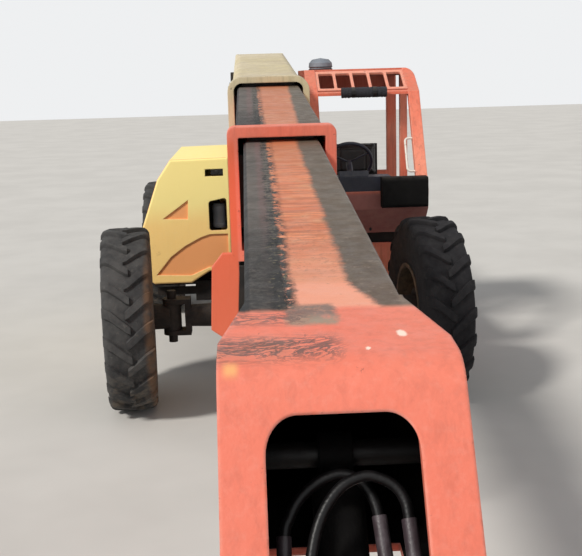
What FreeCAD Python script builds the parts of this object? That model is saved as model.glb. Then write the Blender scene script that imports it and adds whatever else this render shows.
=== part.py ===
import FreeCAD, Part
import os
from math import atan2, cos, degrees, hypot, pi, radians, sin, tan

V = FreeCAD.Vector
ORIGIN = V(0, 0, 0)
X_AXIS = V(1, 0, 0)
Z_AXIS = V(0, 0, 1)

# Telehandler, millimetres. +X is the machine's left (the cab side), -Y is forward, +Z is up.
# Everything is laid out from the front axle on the ground, and moved so that
# the origin is under the middle of the whole machine.

# Overall sizes
overall_width = 2540.0
wheelbase = 3250.0
counterweight_rear = 4300.0
counterweight_low = 620.0
counterweight_high = 1460.0
counterweight_half = 480.0
ballast_tail_half = 980.0
ballast_tail = 190.0

# Wheels and tyres
wheel_radius = 660.0
tyre_width = 350.0
tread_depth = 30.0
tread_bars = 20
bar_foot = 40.0
tyre_wall = 26.0
rim_radius = 305.0
rim_width = 330.0
rim_wall = 9.0
flange_height = 20.0
hub_radius = 165.0
hub_reach = 120.0
bead_gap = 1.0
seat_gap = 0.3

# Steering knuckles and axles
kingpin_inset = 305.0
front_steer = 5.5
kingpin_radius = 32.0
knuckle_height = 190.0
yoke_thick = 34.0
yoke_radius = 66.0
knuckle_gap = 3.0
pin_gap = 0.5
axle_radius = 92.0
differential_radius = 205.0
axle_pad = 60.0

# Frame
rail_x = 320.0
rail_wide = 60.0
rail_low = 790.0
rail_high = 1090.0
frame_front = -430.0
frame_rear = 3950.0
frame_plate = 30.0
deck_front = 2880.0
front_member = 700.0
middle_member = 2090.0
lift_shelf = 60.0
tray_low = 700.0
tray_thick = 12.0
tower_wall = 40.0
tower_front = 3330.0
tower_radius = 150.0

# Boom, laid out along its own line and tipped nose down
boom_x = -56.0
boom_down = 4.42
pivot_y = 3650.0
pivot_z = 2250.0
pivot_pin_radius = 45.0
pivot_boss_radius = 110.0
pivot_boss = 20.0
pivot_gap = 6.0
fly_top = 341.5
fly_width = 322.0
fly_height = 440.0
fly_wall = 10.0
mid_width = 390.0
mid_height = 508.0
mid_wall = 12.0
base_width = 460.0
base_height = 584.0
base_wall = 12.0
slack_under_fly = 34.0
slack_under_mid = 38.0
base_rear = -220.0
base_front = 4396.0
base_corner = 62.0
section_corner = 18.0
base_hump = 1640.0
base_slope_end = 1000.0
base_slope_drop = 25.0
base_tail_top = 215.0
mid_rear = 3200.0
mid_front = 6600.0
fly_rear = 5460.0
fly_front = 8860.0
collar_length = 60.0
base_collar_side = 27.5
base_collar_corner = 95.0
mid_collar_side = 33.5
mid_collar_corner = 34.0
pad_length = 110.0
pad_gap = 0.4
pad_inset = 20.0

# Boom head
head_width = 418.0
head_wall = 18.0
head_flare = 240.0
face_angle = 36.4
brow_s = 9215.0
brow_radius = 90.0
head_depth = 400.0
head_pin_s = 9690.0
head_pin_t = -575.0
head_pin_radius = 34.0
head_boss_radius = 105.0
opening_width = 254.0
opening_corner = 54.0
opening_top = 271.0
opening_shift = -5.0
opening_low = -800.0
hose_radius = 10.0
hose_fitting_radius = 13.0
hose_clip = -174.0

# Lift, levelling and tilt cylinders
lift_foot_y = 2400.0
lift_foot_z = 850.0
lift_eye_s = 700.0
lift_eye_t = -330.0
lift_spread = 130.0
lift_barrel_radius = 68.0
lift_rod_radius = 40.0
lift_eye_radius = 58.0
lift_pin_radius = 30.0
lift_eye_width = 90.0
level_foot_y = 3000.0
level_foot_z = 1300.0
level_eye_s = 260.0
level_eye_t = -300.0
level_barrel_radius = 42.0
level_rod_radius = 22.0
level_eye_radius = 36.0
level_pin_radius = 18.0
eye_width = 64.0
lug_gap = 3.0
lug_wall = 20.0

# Fork carriage
carriage_y = -6260.0
carriage_low = 420.0
carriage_high = 1340.0
carriage_width = 1270.0
carriage_bar = 120.0
carriage_thick = 40.0
carriage_post = 50.0
carriage_post_x = 150.0
fork_length = 1220.0
fork_width = 120.0
fork_thick = 50.0
fork_tip = 14.0
fork_hook_thick = 28.0
fork_spread = 340.0
fork_low = 330.0

# Tilt cylinder and coupler
tilt_foot_s = 9060.0
tilt_foot_t = 100.0
tilt_arm_s = -60.0
tilt_arm_t = 190.0
tilt_least_length = 690.0
tilt_barrel_radius = 48.0
tilt_rod_radius = 26.0
tilt_eye_radius = 42.0
tilt_pin_radius = 25.0
coupler_arm_x = 110.0
coupler_plate = 30.0
coupler_hub_radius = 58.0

# Gearbox between the rails
gearbox_front = 1180.0
gearbox_rear = 1760.0
gearbox_half = 150.0
gearbox_low = 520.0
gearbox_high = 1000.0
axle_nose = 300.0
axle_nose_radius = 80.0
shaft_radius = 40.0

# Cab
cab_inner = 290.0
cab_outer = 1192.0
cab_front = 850.0
cab_nose = 580.0
cab_rear = 2350.0
cab_roof = 2390.0
cab_skin = 28.0
cab_brow_y = 1010.0
cab_brow_z = 2205.0
cab_crown_y = 1350.0
cab_post = 62.0
cab_side_width = 88.0
cab_middle_post = 1635.0
fender_inner = 815.0
fender_inset = 25.0
fender_reach = 130.0
cab_sill = 1455.0
cab_chin = 1310.0
grille_openings = 5
seat_height = 230.0
seat_rear = 2010.0
back_height = 380.0
cushion_thick = 100.0
dash_height = 112.0
dash_inner = 430.0
dash_outer = 900.0
dash_deep = 190.0
column_x = 611.0
steering_radius = 185.0
roll_radius = 45.0
roll_inner = 560.0
roll_outer = 920.0
grille_bar = 22.0
rear_header = 200.0
grab_radius = 9.0
grab_reach = 58.0
grab_low = 1590.0
grab_high = 1838.0
beacon_radius = 100.0

# Tank under the cab
tank_inset = 212.0
tank_low = 520.0
tank_wall = 10.0
step_front = 1240.0
step_width = 470.0
step_rung_zs = (430.0, 660.0)
step_strap = 50.0

# Hood over the engine
hood_inner = -362.0
hood_outer = -1068.0
hood_front = 845.0
hood_rear = 2400.0
hood_low = 728.0
hood_top = 1730.0
hood_wall = 25.0
hood_lip = 80.0
hood_rise = 91.0
hood_edge = 16.0
hood_relief = 12.0
guard_low = 618.0
guard_high = 678.0
guard_bracket_low = 564.0
louvre_count = 7
louvre_pitch = 90.0
louvre_width = 30.0
hinge_x = -350.0
hinge_sleeve = 120.0
hinge_wall_inset = 55.0

# Tail lamps
lamp_thick = 22.0
lamp_wide = 110.0
lamp_high = 80.0
lamp_x = 880.0
lamp_z = 1060.0

# The wheels' middle planes and kingpins follow the overall width, and the tank the cab's
wheel_x = (overall_width - tyre_width) / 2.0
kingpin_x = wheel_x - kingpin_inset
tank_outer = cab_outer - tank_inset

# The cab stands on the rails
cab_base = rail_high + seat_gap
cab_floor = cab_base + cab_skin

# Distance from the front axle to the middle of the machine, from fork tips to tail lamps
fork_point = carriage_y - carriage_thick - fork_thick - fork_length - 2 * seat_gap
lamp_rear = counterweight_rear + seat_gap + lamp_thick
front_axle_y = -(fork_point + lamp_rear) / 2.0


def box(x0, x1, y0, y1, z0, z1):
    return Part.makeBox(x1 - x0, y1 - y0, z1 - z0, V(x0, y0, z0))


def bar(start, end, radius):
    way = end - start
    return Part.makeCylinder(radius, way.Length, start, way)


def pipe(start, end, outer, inner):
    return bar(start, end, outer).cut(bar(start, end, inner))


def plate_x(outline, x0, x1):
    # outline: (y, z) corners
    corners = [V(x0, y, z) for y, z in outline]
    return Part.Face(Part.makePolygon(corners + corners[:1])).extrude(V(x1 - x0, 0, 0))


def plate_y(outline, y0, y1):
    # outline: (x, z) corners
    corners = [V(x, y0, z) for x, z in outline]
    return Part.Face(Part.makePolygon(corners + corners[:1])).extrude(V(0, y1 - y0, 0))


def plate_z(outline, z0, z1):
    # outline: (x, y) corners
    corners = [V(x, y, z0) for x, y in outline]
    return Part.Face(Part.makePolygon(corners + corners[:1])).extrude(V(0, 0, z1 - z0))


def fuse(pieces):
    return pieces[0].multiFuse(pieces[1:]).removeSplitter()


def along(edge, axis):
    ends = edge.Vertexes
    if len(ends) < 2 or edge.Curve.TypeId != "Part::GeomLine":
        return False
    way = (ends[1].Point - ends[0].Point).normalize()
    return abs(abs(way.dot(axis)) - 1.0) < 1e-6


def rounded(solid, radius, axis, chosen=None):
    # rounds the straight edges along an axis whose middle the test picks
    edges = [e for e in solid.Edges if along(e, axis)]
    if chosen:
        edges = [e for e in edges if chosen(e.CenterOfMass)]
    return solid.makeFillet(radius, edges)


def turned(solid, centre, axis, angle):
    copy = solid.copy()
    copy.rotate(centre, axis, angle)
    return copy


def mirrored(solid):
    return solid.mirror(ORIGIN, X_AXIS)


def spun(profile, centre_x):
    # profile: (x, radius) corners, spun round the X axis
    corners = [V(centre_x + x, 0, r) for x, r in profile]
    face = Part.Face(Part.makePolygon(corners + corners[:1]))
    return face.revolve(V(centre_x, 0, 0), X_AXIS, 360)


def save(name, *solids):
    shape = solids[0] if len(solids) == 1 else Part.makeCompound(list(solids))
    placed = shape.copy()
    placed.translate(V(0, front_axle_y, 0))
    placed.exportStep(os.path.join("parts", name + ".step"))
    for solid in placed.Solids:
        if not solid.isValid():
            print("not valid:", name)
    print(name, len(placed.Solids), round(placed.Volume / 1e9, 4))


def tube(route, radius):
    # straight runs between the route's points, joined by arcs as large as the runs allow
    edges = []
    last = route[0]
    for before, corner, after in zip(route, route[1:], route[2:]):
        back = (before - corner).normalize()
        ahead = (after - corner).normalize()
        run = min((before - corner).Length, (after - corner).Length) * 0.45
        arc_start = corner + back * run
        arc_end = corner + ahead * run
        half_turn = (pi - back.getAngle(ahead)) / 2
        bulge = (back + ahead).normalize() * (run / tan(half_turn) * (1 / cos(half_turn) - 1))
        edges.append(Part.LineSegment(last, arc_start).toShape())
        edges.append(Part.Arc(arc_start, corner + bulge, arc_end).toShape())
        last = arc_end
    edges.append(Part.LineSegment(last, route[-1]).toShape())
    ring = Part.Wire([Part.makeCircle(radius, route[0], route[1] - route[0])])
    return Part.Wire(edges).makePipeShell([ring], True, False)


# Boom frame: x sideways, s forward from the pivot, t up from the pivot, both square to the boom's line
def boom_box(x0, x1, s0, s1, t0, t1):
    return box(boom_x + x0, boom_x + x1, -s1, -s0, t0, t1)


def boom_plate(outline, x0, x1):
    # outline: (s, t) corners
    return plate_x([(-s, t) for s, t in outline], boom_x + x0, boom_x + x1)


def boom_bar(s, t, x0, x1, radius):
    return bar(V(boom_x + x0, -s, t), V(boom_x + x1, -s, t), radius)


def on_boom(solid):
    placed = turned(solid, ORIGIN, X_AXIS, boom_down)
    placed.translate(V(0, pivot_y, pivot_z))
    return placed


def boom_point(s, t):
    down = radians(boom_down)
    return V(boom_x, pivot_y - s * cos(down) - t * sin(down), pivot_z - s * sin(down) + t * cos(down))


def hollow_bar(width, low, high, corner, s0, s1):
    return rounded(boom_box(-width / 2, width / 2, s0, s1, low, high), corner, V(0, 1, 0))


os.makedirs("parts", exist_ok=True)


# Wheels: tyre, rim with its hub, and the steering knuckle that carries them
tyre_half = tyre_width / 2.0
rim_half = rim_width / 2.0
bar_overlap = 14.0


def tyre():
    shoulder = wheel_radius - tread_depth
    bead = rim_radius + bead_gap
    seat = rim_half - rim_wall - seat_gap
    belly = (wheel_radius + bead) / 2.0
    outer = [
        (-seat, bead), (-seat, bead + flange_height), (-tyre_half, belly), (-tyre_half + 6, shoulder - 40),
        (-tyre_half + 34, shoulder), (tyre_half - 34, shoulder), (tyre_half - 6, shoulder - 40),
        (tyre_half, belly), (seat, bead + flange_height), (seat, bead),
    ]
    inner_half = tyre_half - tyre_wall
    inner = [
        (seat - tyre_wall, bead), (inner_half - 4, belly), (inner_half - 14, shoulder - 26),
        (14 - inner_half, shoulder - 26), (4 - inner_half, belly), (-seat + tyre_wall, bead),
    ]
    casing = spun(outer + inner, 0)
    # what the bars of one hand stay within: flat on the tread, sloping over the shoulder
    band = spun([
        (-bar_overlap, shoulder - 20), (-bar_overlap, wheel_radius), (tyre_half - 44, wheel_radius),
        (tyre_half - 2, shoulder - bar_foot), (tyre_half - 14, shoulder - bar_foot - 10),
    ], 0)
    # a bar seen on the tread: place across from the middle, place along the tread
    bar_outline = [
        (-bar_overlap, -101), (120, 14), (tyre_half, 39), (tyre_half, 101), (120, 76), (-bar_overlap, -39),
    ]
    corners = [V(x, along, shoulder - bar_foot - 20) for x, along in bar_outline]
    block = Part.Face(Part.makePolygon(corners + corners[:1])).extrude(V(0, 0, tread_depth * 4))
    tread_bar = band.common(block)
    pitch = 360.0 / tread_bars
    bars = []
    for n in range(tread_bars):
        bars.append(turned(tread_bar, ORIGIN, X_AXIS, n * pitch))
        bars.append(turned(mirrored(tread_bar), ORIGIN, X_AXIS, (n + 0.5) * pitch))
    return fuse([casing] + bars)


def rim():
    # outboard is +X
    barrel = spun([
        (-rim_half, rim_radius - rim_wall), (-rim_half, rim_radius + flange_height),
        (-rim_half + rim_wall, rim_radius + flange_height), (-rim_half + rim_wall, rim_radius),
        (rim_half - rim_wall, rim_radius), (rim_half - rim_wall, rim_radius + flange_height),
        (rim_half, rim_radius + flange_height), (rim_half, rim_radius - rim_wall),
    ], 0)
    disc_x = 40.0
    disc = spun([
        (disc_x, 0), (disc_x, hub_radius + 30), (disc_x - 26, rim_radius - rim_wall),
        (disc_x - 12, rim_radius - rim_wall), (disc_x + 14, hub_radius + 34), (disc_x + 14, 0),
    ], 0)
    hub = spun([
        (disc_x - hub_reach, 0), (disc_x - hub_reach, hub_radius - 20), (disc_x, hub_radius),
        (disc_x + 60, hub_radius - 30), (disc_x + 84, hub_radius - 62), (disc_x + 84, 0),
    ], 0)
    return fuse([barrel, disc, hub])


def knuckle():
    # left hand, kingpin on the Z axis at the origin, wheel hub to +X
    hub_face = kingpin_inset + 40.0 - hub_reach - seat_gap
    body = bar(V(0, 0, -knuckle_height / 2), V(0, 0, knuckle_height / 2), yoke_radius)
    drum = bar(V(20, 0, 0), V(hub_face, 0, 0), knuckle_height / 2 - 4)
    flange = bar(V(hub_face - 22, 0, 0), V(hub_face, 0, 0), hub_radius - 24)
    arm = plate_z([(-20, 40), (-20, 210), (24, 210), (44, 60), (44, 0), (0, 0)], -30, 6)
    pin = bar(V(0, 0, -knuckle_height), V(0, 0, knuckle_height), kingpin_radius)
    return fuse([body, drum, flange, arm, pin])


def axle():
    half = kingpin_x
    pipe_end = kingpin_x - yoke_radius - 30
    housing = spun([
        (-pipe_end, 0), (-pipe_end, axle_radius - 14), (-differential_radius - 90, axle_radius),
        (-differential_radius + 40, differential_radius - 40), (-70, differential_radius),
        (70, differential_radius), (differential_radius - 40, differential_radius - 40),
        (differential_radius + 90, axle_radius), (pipe_end, axle_radius - 14), (pipe_end, 0),
    ], 0)
    pieces = [housing]
    inner_low = knuckle_height / 2 + knuckle_gap
    for side in (-1, 1):
        for up in (-1, 1):
            z0 = up * inner_low
            z1 = up * (inner_low + yoke_thick)
            lug = bar(V(side * half, 0, min(z0, z1)), V(side * half, 0, max(z0, z1)), yoke_radius)
            web = box(min(side * (pipe_end - 40), side * half), max(side * (pipe_end - 40), side * half),
                      -yoke_radius, yoke_radius, min(z0, z1), max(z0, z1))
            pieces += [lug, web]
        back = box(min(side * (pipe_end - 40), side * pipe_end), max(side * (pipe_end - 40), side * pipe_end),
                   -yoke_radius, yoke_radius, -inner_low - yoke_thick, inner_low + yoke_thick)
        pieces.append(back)
    for side in (-1, 1):
        saddle_top = rail_low - wheel_radius
        pieces.append(box(side * rail_x - axle_pad, side * rail_x + axle_pad, -95, 95, 0, saddle_top))
    whole = fuse(pieces)
    for side in (-1, 1):
        whole = whole.cut(bar(V(side * half, 0, -300), V(side * half, 0, 300), kingpin_radius + pin_gap))
    return whole


tyre_solid = tyre()
rim_solid = rim()
knuckle_solid = knuckle()
axle_solid = axle()

# corner name, side (+1 is the machine's left), place along the machine, turn about the kingpin
wheel_corners = [
    ("front_left", 1, 0.0, front_steer),
    ("front_right", -1, 0.0, front_steer),
    ("rear_left", 1, wheelbase, 0.0),
    ("rear_right", -1, wheelbase, 0.0),
]

for corner, side, y, steer in wheel_corners:
    for piece, solid, x in (("tyre", tyre_solid, kingpin_inset), ("rim", rim_solid, kingpin_inset),
                            ("knuckle", knuckle_solid, 0.0)):
        placed = solid.copy()
        if piece == "knuckle" and y > 0:
            placed = placed.mirror(ORIGIN, V(0, 1, 0))
        placed.translate(V(x, 0, 0))
        if side < 0:
            placed = mirrored(placed)
        placed = turned(placed, ORIGIN, Z_AXIS, steer)
        placed.translate(V(side * kingpin_x, y, wheel_radius))
        save(corner + "_" + piece, placed)

for name, y, flip in (("front_axle", 0.0, 1), ("rear_axle", wheelbase, -1)):
    nose = bar(V(0, 0, 0), V(0, flip * axle_nose, 0), axle_nose_radius)
    whole = fuse([axle_solid, nose])
    whole.translate(V(0, y, wheel_radius))
    save(name, whole)

# Frame: two rails, cross members, rear deck, boom towers, outriggers for cab and engine
tower_inner = base_width / 2 + pivot_boss + pivot_gap
rail_in = rail_x - rail_wide / 2
rail_out = rail_x + rail_wide / 2
frame_pieces = []
for side in (-1, 1):
    low, high = sorted((side * rail_in, side * rail_out))
    frame_pieces.append(box(low, high, frame_front, frame_rear, rail_low, rail_high))

# cross members: front and rear y, low and high z
cross_members = [
    (frame_front, frame_front + frame_plate, rail_low, rail_high),
    (front_member, front_member + frame_plate, rail_low, rail_high),
    (middle_member, middle_member + frame_plate, rail_low, rail_high),
    (deck_front, deck_front + frame_plate, rail_low, rail_high),
    (frame_rear - frame_plate, frame_rear, rail_low, rail_high),
    (lift_foot_y - 70, lift_foot_y + 70, rail_low - lift_shelf, rail_low),
]
for y0, y1, z0, z1 in cross_members:
    half = rail_out if z0 < rail_low else rail_in
    frame_pieces.append(box(-half, half, y0, y1, z0, z1))
frame_pieces.append(box(-rail_out, rail_out, deck_front, frame_rear, rail_high, rail_high + frame_plate))

tower_foot = rail_high + frame_plate
tower_outline = [
    (tower_front, tower_foot), (frame_rear, tower_foot), (frame_rear, tower_foot + 380),
    (pivot_y + tower_radius, pivot_z), (pivot_y - tower_radius, pivot_z), (tower_front, tower_foot + 520),
]
for side in (-1, 1):
    low, high = sorted((side * tower_inner, side * (tower_inner + tower_wall)))
    wall = plate_x(tower_outline, boom_x + low, boom_x + high)
    crown = bar(V(boom_x + low, pivot_y, pivot_z), V(boom_x + high, pivot_y, pivot_z), tower_radius)
    frame_pieces += [wall, crown]
back_wall = box(boom_x - tower_inner, boom_x + tower_inner, frame_rear - 25, frame_rear,
                tower_foot, tower_foot + 380)
frame_pieces.append(back_wall)

# outriggers: side, front y, reach, low z, high z
outriggers = [
    (-1, hood_front + 90, -hood_outer - 70, tray_low, hood_low - seat_gap * 2),
    (-1, hood_rear - 190, -hood_outer - 70, tray_low, hood_low - seat_gap * 2),
    (1, cab_front + 120, cab_outer - 60, rail_high - 100, rail_high),
    (1, cab_rear - 220, cab_outer - 60, rail_high - 100, rail_high),
]
for side, y, reach, z0, z1 in outriggers:
    low, high = sorted((side * rail_in, side * reach))
    frame_pieces.append(box(low, high, y, y + 100, z0, z1))
    low, high = sorted((side * rail_in, side * rail_out))
    frame_pieces.append(box(low, high, y, y + 100, min(z0, rail_low), rail_high))
tray = box(hood_outer + 90, -rail_in, hood_front + 90, hood_rear - 90, tray_low, tray_low + tray_thick)
frame_pieces.append(tray)
# guard bar behind the right front wheel, and its bracket under the tray
guard_y = hood_front + 90
bracket_x = hood_outer + 403
frame_pieces.append(box(hood_outer + 93, hood_outer + 440, guard_y, guard_y + 40, guard_low, guard_high))
frame_pieces.append(box(bracket_x, bracket_x + 137, guard_y, guard_y + 60, guard_bracket_low, tray_low + 1))


def clevis(centre, width, radius, pin, base_z):
    # two upright plates and the pin between them, on a flat base at base_z
    plates = []
    outer = width / 2 + lug_gap
    for side in (-1, 1):
        low, high = sorted((side * outer, side * (outer + lug_wall)))
        disc = bar(centre + V(low, 0, 0), centre + V(high, 0, 0), radius)
        foot = box(centre.x + low, centre.x + high, centre.y - radius, centre.y + radius, base_z, centre.z)
        plates += [disc, foot]
    reach = outer + lug_wall + 8
    plates.append(bar(centre - V(reach, 0, 0), centre + V(reach, 0, 0), pin))
    return plates


for side in (-1, 1):
    centre = V(boom_x + side * lift_spread, lift_foot_y, lift_foot_z)
    frame_pieces += clevis(centre, lift_eye_width, lift_eye_radius, lift_pin_radius, rail_low - lift_shelf)
frame_pieces += clevis(V(boom_x, level_foot_y, level_foot_z), eye_width, level_eye_radius, level_pin_radius,
                       tower_foot)
pivot_reach = tower_inner + tower_wall + 15
pivot_pin = bar(V(boom_x - pivot_reach, pivot_y, pivot_z), V(boom_x + pivot_reach, pivot_y, pivot_z),
                pivot_pin_radius)
frame_pieces.append(pivot_pin)
save("frame", fuse(frame_pieces))

# Counterweight: one cast block behind the rear axle, with a wide tail
ballast = fuse([
    box(-rail_in + 20, rail_in - 20, frame_rear + seat_gap, counterweight_rear,
        counterweight_low - 60, rail_high),
    box(-counterweight_half, counterweight_half, frame_rear + seat_gap, counterweight_rear,
        counterweight_low, counterweight_high),
    box(-ballast_tail_half, ballast_tail_half, counterweight_rear - ballast_tail, counterweight_rear,
        counterweight_low + 20, rail_high + 40),
])
ballast = rounded(ballast, 40, Z_AXIS, lambda p: p.y > counterweight_rear - 1)
save("counterweight", ballast)

# Engine block under the hood, carried by the tray
engine = box(hood_outer + 130, hood_inner - 108, hood_front + 215, hood_rear - 340,
             tray_low + tray_thick + seat_gap, hood_top - 310)
save("engine", engine)

# Driveline between the rails: gearbox and the two propeller shafts
gearbox = box(-gearbox_half, gearbox_half, gearbox_front, gearbox_rear, gearbox_low, gearbox_high)
hanger_y = (gearbox_front + gearbox_rear) / 2 - 70
gearbox_hangers = box(-rail_in + seat_gap, rail_in - seat_gap, hanger_y, hanger_y + 100,
                      gearbox_high - 150, gearbox_high - 50)
nose_end = axle_nose + seat_gap
front_shaft = bar(V(0, nose_end, wheel_radius), V(0, gearbox_front, wheel_radius), shaft_radius)
rear_shaft = bar(V(0, gearbox_rear, wheel_radius), V(0, wheelbase - nose_end, wheel_radius), shaft_radius)
save("driveline", fuse([gearbox, gearbox_hangers, front_shaft, rear_shaft]))

# Base boom: hollow box with large upper corners, tapering down at its tail, with a collar in front
base_top = fly_top + slack_under_fly + slack_under_mid
base_low = base_top - base_height
mid_top = fly_top + slack_under_fly
mid_low = mid_top - mid_height
fly_low = fly_top - fly_height
base_side = base_width / 2
base_inner_side = base_side - base_wall
base_outer = hollow_bar(base_width, base_low, base_top, base_corner, base_rear, base_front)
base_inner = hollow_bar(base_width - 2 * base_wall, base_low + base_wall, base_top - base_wall,
                        base_corner - base_wall, base_rear + base_wall, base_front + 10)


def base_profile(inset, front):
    return [
        (base_rear + inset, base_low + inset), (front, base_low + inset), (front, base_top - inset),
        (base_hump, base_top - inset), (base_slope_end, base_top - base_slope_drop - inset),
        (base_rear + inset, base_tail_top - inset),
    ]


base_outer = base_outer.common(boom_plate(base_profile(0, base_front), -base_side, base_side))
base_inner = base_inner.common(boom_plate(base_profile(base_wall, base_front + 10), -base_side, base_side))
base_collar = hollow_bar(base_width + 2 * base_collar_side, base_low - base_collar_side,
                         base_top + base_collar_side, base_collar_corner,
                         base_front - collar_length, base_front)
base_pieces = [base_outer, base_collar]
for side in (-1, 1):
    low, high = sorted((side * base_side, side * (base_side + pivot_boss)))
    base_pieces.append(boom_bar(0, 0, low, high, pivot_boss_radius))


def boom_lug(x, s, t, radius, pin, half_gap, foot_front, foot_rear):
    # two plates under the base boom, each with the end of its pin on the outside
    plates = []
    outer_gap = half_gap + lug_wall
    for side in (-1, 1):
        low, high = sorted((x + side * half_gap, x + side * outer_gap))
        plates.append(boom_bar(s, t, low, high, radius))
        plates.append(boom_plate([(foot_rear, base_low + 1), (s - radius, t), (s + radius, t),
                                  (foot_front, base_low + 1)], low, high))
        low, high = sorted((x + side * outer_gap, x + side * (outer_gap + 8)))
        plates.append(boom_bar(s, t, low, high, pin))
    return plates


for side in (-1, 1):
    base_pieces += boom_lug(side * lift_spread, lift_eye_s, lift_eye_t, lift_eye_radius, lift_pin_radius,
                            lift_eye_width / 2 + lug_gap, lift_eye_s + 190, lift_eye_s - 110)
base_pieces += boom_lug(0, level_eye_s, level_eye_t, level_eye_radius, level_pin_radius,
                        eye_width / 2 + lug_gap, level_eye_s + 90, level_eye_s - 60)
base_boom = fuse(base_pieces).cut(base_inner)
base_boom = base_boom.cut(boom_bar(0, 0, -base_side - 60, base_side + 60, pivot_pin_radius + pin_gap))
save("base_boom", on_boom(base_boom))

# Mid boom: hollow box with its collar and the hanging tongue plate on the machine's right
mid_side = mid_width / 2
mid_outer = hollow_bar(mid_width, mid_low, mid_top, section_corner, mid_rear, mid_front)
mid_inner = hollow_bar(mid_width - 2 * mid_wall, mid_low + mid_wall, mid_top - mid_wall,
                       section_corner - mid_wall, mid_rear - 10, mid_front + 10)
mid_collar = hollow_bar(mid_width + 2 * mid_collar_side, mid_low - mid_collar_side,
                        mid_top + mid_collar_side, mid_collar_corner, mid_front - collar_length, mid_front)
tongue_top = -160.0
tongue_low = -530.0
tongue = plate_y([
    (boom_x - mid_side - mid_collar_side + 30, tongue_top + 30), (boom_x - 268, tongue_top + 30),
    (boom_x - 316, tongue_top - 30), (boom_x - 330, tongue_low + 60), (boom_x - 250, tongue_low),
    (boom_x - 216, tongue_low), (boom_x - mid_side - mid_collar_side + 30, tongue_top - 60),
], -mid_front, -mid_front + 24)
mid_boom = fuse([mid_outer, mid_collar, tongue]).cut(mid_inner)
save("mid_boom", on_boom(mid_boom))


def wear_pads(outer_side, outer_top, outer_low, outer_corner, inner_side, inner_top, inner_low, front):
    # pads on the walls of the outer section, with a running gap to the inner one
    rear = front - pad_length
    side_low = inner_low + pad_inset * 3
    side_high = inner_top - pad_inset * 3
    cross = min(inner_side - pad_inset, outer_side - outer_corner - 2)
    pads = [
        boom_box(-cross, cross, rear, front, inner_top + pad_gap, outer_top),
        boom_box(-cross, cross, rear, front, outer_low, inner_low - pad_gap),
        boom_box(inner_side + pad_gap, outer_side, rear, front, side_low, side_high),
        boom_box(-outer_side, -inner_side - pad_gap, rear, front, side_low, side_high),
    ]
    return [on_boom(pad) for pad in pads]


save("base_pads", *wear_pads(base_inner_side, base_top - base_wall, base_low + base_wall,
                             base_corner - base_wall, mid_side, mid_top, mid_low,
                             base_front - collar_length - 20))
save("mid_pads", *wear_pads(mid_side - mid_wall, mid_top - mid_wall, mid_low + mid_wall,
                            section_corner - mid_wall, fly_width / 2, fly_top, fly_low,
                            mid_front - collar_length - 20))

# Fly boom with its gooseneck head
fly_side = fly_width / 2
head_side = head_width / 2
lean = tan(radians(face_angle))
fly_outer = hollow_bar(fly_width, fly_low, fly_top, section_corner, fly_rear, fly_front)
fly_inner = hollow_bar(fly_width - 2 * fly_wall, fly_low + fly_wall, fly_top - fly_wall,
                       section_corner - fly_wall, fly_rear - 10, fly_front + 10)


def head_profile(inset, tail):
    # side view of the head in (s, t): top, inclined face, pin end, underside
    slant = inset / cos(radians(face_angle))
    face_s = brow_s - slant + inset * lean
    chin_t = head_pin_t + head_boss_radius * 0.55
    face_chin = brow_s - slant + (fly_top - chin_t) * lean
    back_chin = face_chin - head_depth + 2 * slant
    back_top = back_chin - (fly_low + inset - chin_t) * lean
    return [
        (tail, fly_top - inset), (face_s, fly_top - inset), (face_chin, chin_t),
        (back_chin, chin_t), (back_top, fly_low + inset), (tail, fly_low + inset),
    ]


def head_plan(inset, tail):
    front = brow_s + 800
    flare_end = fly_front + head_flare
    narrow = fly_side - inset
    wide = head_side - inset
    return plate_z([
        (boom_x - narrow, -tail), (boom_x - narrow, -fly_front), (boom_x - wide, -flare_end),
        (boom_x - wide, -front), (boom_x + wide, -front), (boom_x + wide, -flare_end),
        (boom_x + narrow, -fly_front), (boom_x + narrow, -tail),
    ], -900, 500)


tail = fly_front - 20
head_outer = boom_plate(head_profile(0, tail), -head_side, head_side)
head_outer = rounded(head_outer, brow_radius, X_AXIS, lambda p: p.z > fly_top - 1 and p.y < -brow_s + 1)
head_outer = head_outer.common(head_plan(0, tail))
head_inner = boom_plate(head_profile(head_wall, tail - 1), -head_side, head_side)
head_inner = rounded(head_inner, brow_radius - head_wall, X_AXIS,
                     lambda p: p.z > fly_top - head_wall - 1 and p.y < -brow_s + head_wall * 2)
head_inner = head_inner.common(head_plan(head_wall, tail - 1))

# side cheeks carry the pin
cheeks = []
for side in (-1, 1):
    low, high = sorted((side * (head_side - head_wall), side * head_side))
    cheeks.append(boom_bar(head_pin_s, head_pin_t, low, high, head_boss_radius))
    throat = head_pin_t + 190
    throat_face = brow_s + (fly_top - throat) * lean
    cheeks.append(boom_plate([
        (head_pin_s - head_boss_radius, head_pin_t), (head_pin_s + head_boss_radius, head_pin_t),
        (throat_face, throat), (throat_face - head_depth, throat),
    ], low, high))

# the face opening runs down the inclined face
opening_x = boom_x + opening_shift
face_opening = rounded(
    box(opening_x - opening_width / 2, opening_x + opening_width / 2, -brow_s - 900, -brow_s + 130,
        opening_low, opening_top), opening_corner, V(0, 1, 0))
mouth = boom_box(-head_side + head_wall, head_side - head_wall, brow_s - 300, brow_s + 900,
                 head_pin_t - 200, head_pin_t + 190)
head = fuse([head_outer] + cheeks).cut(head_inner).cut(face_opening).cut(mouth)
fly_boom = fuse([fly_outer, head]).cut(fly_inner)
head_pin = boom_bar(head_pin_s, head_pin_t, -head_side - 14, head_side + 14, head_pin_radius)
cheek_inside = head_side - head_wall
tilt_pin = boom_bar(tilt_foot_s, tilt_foot_t, -cheek_inside - 1, cheek_inside + 1, tilt_pin_radius)


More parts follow.
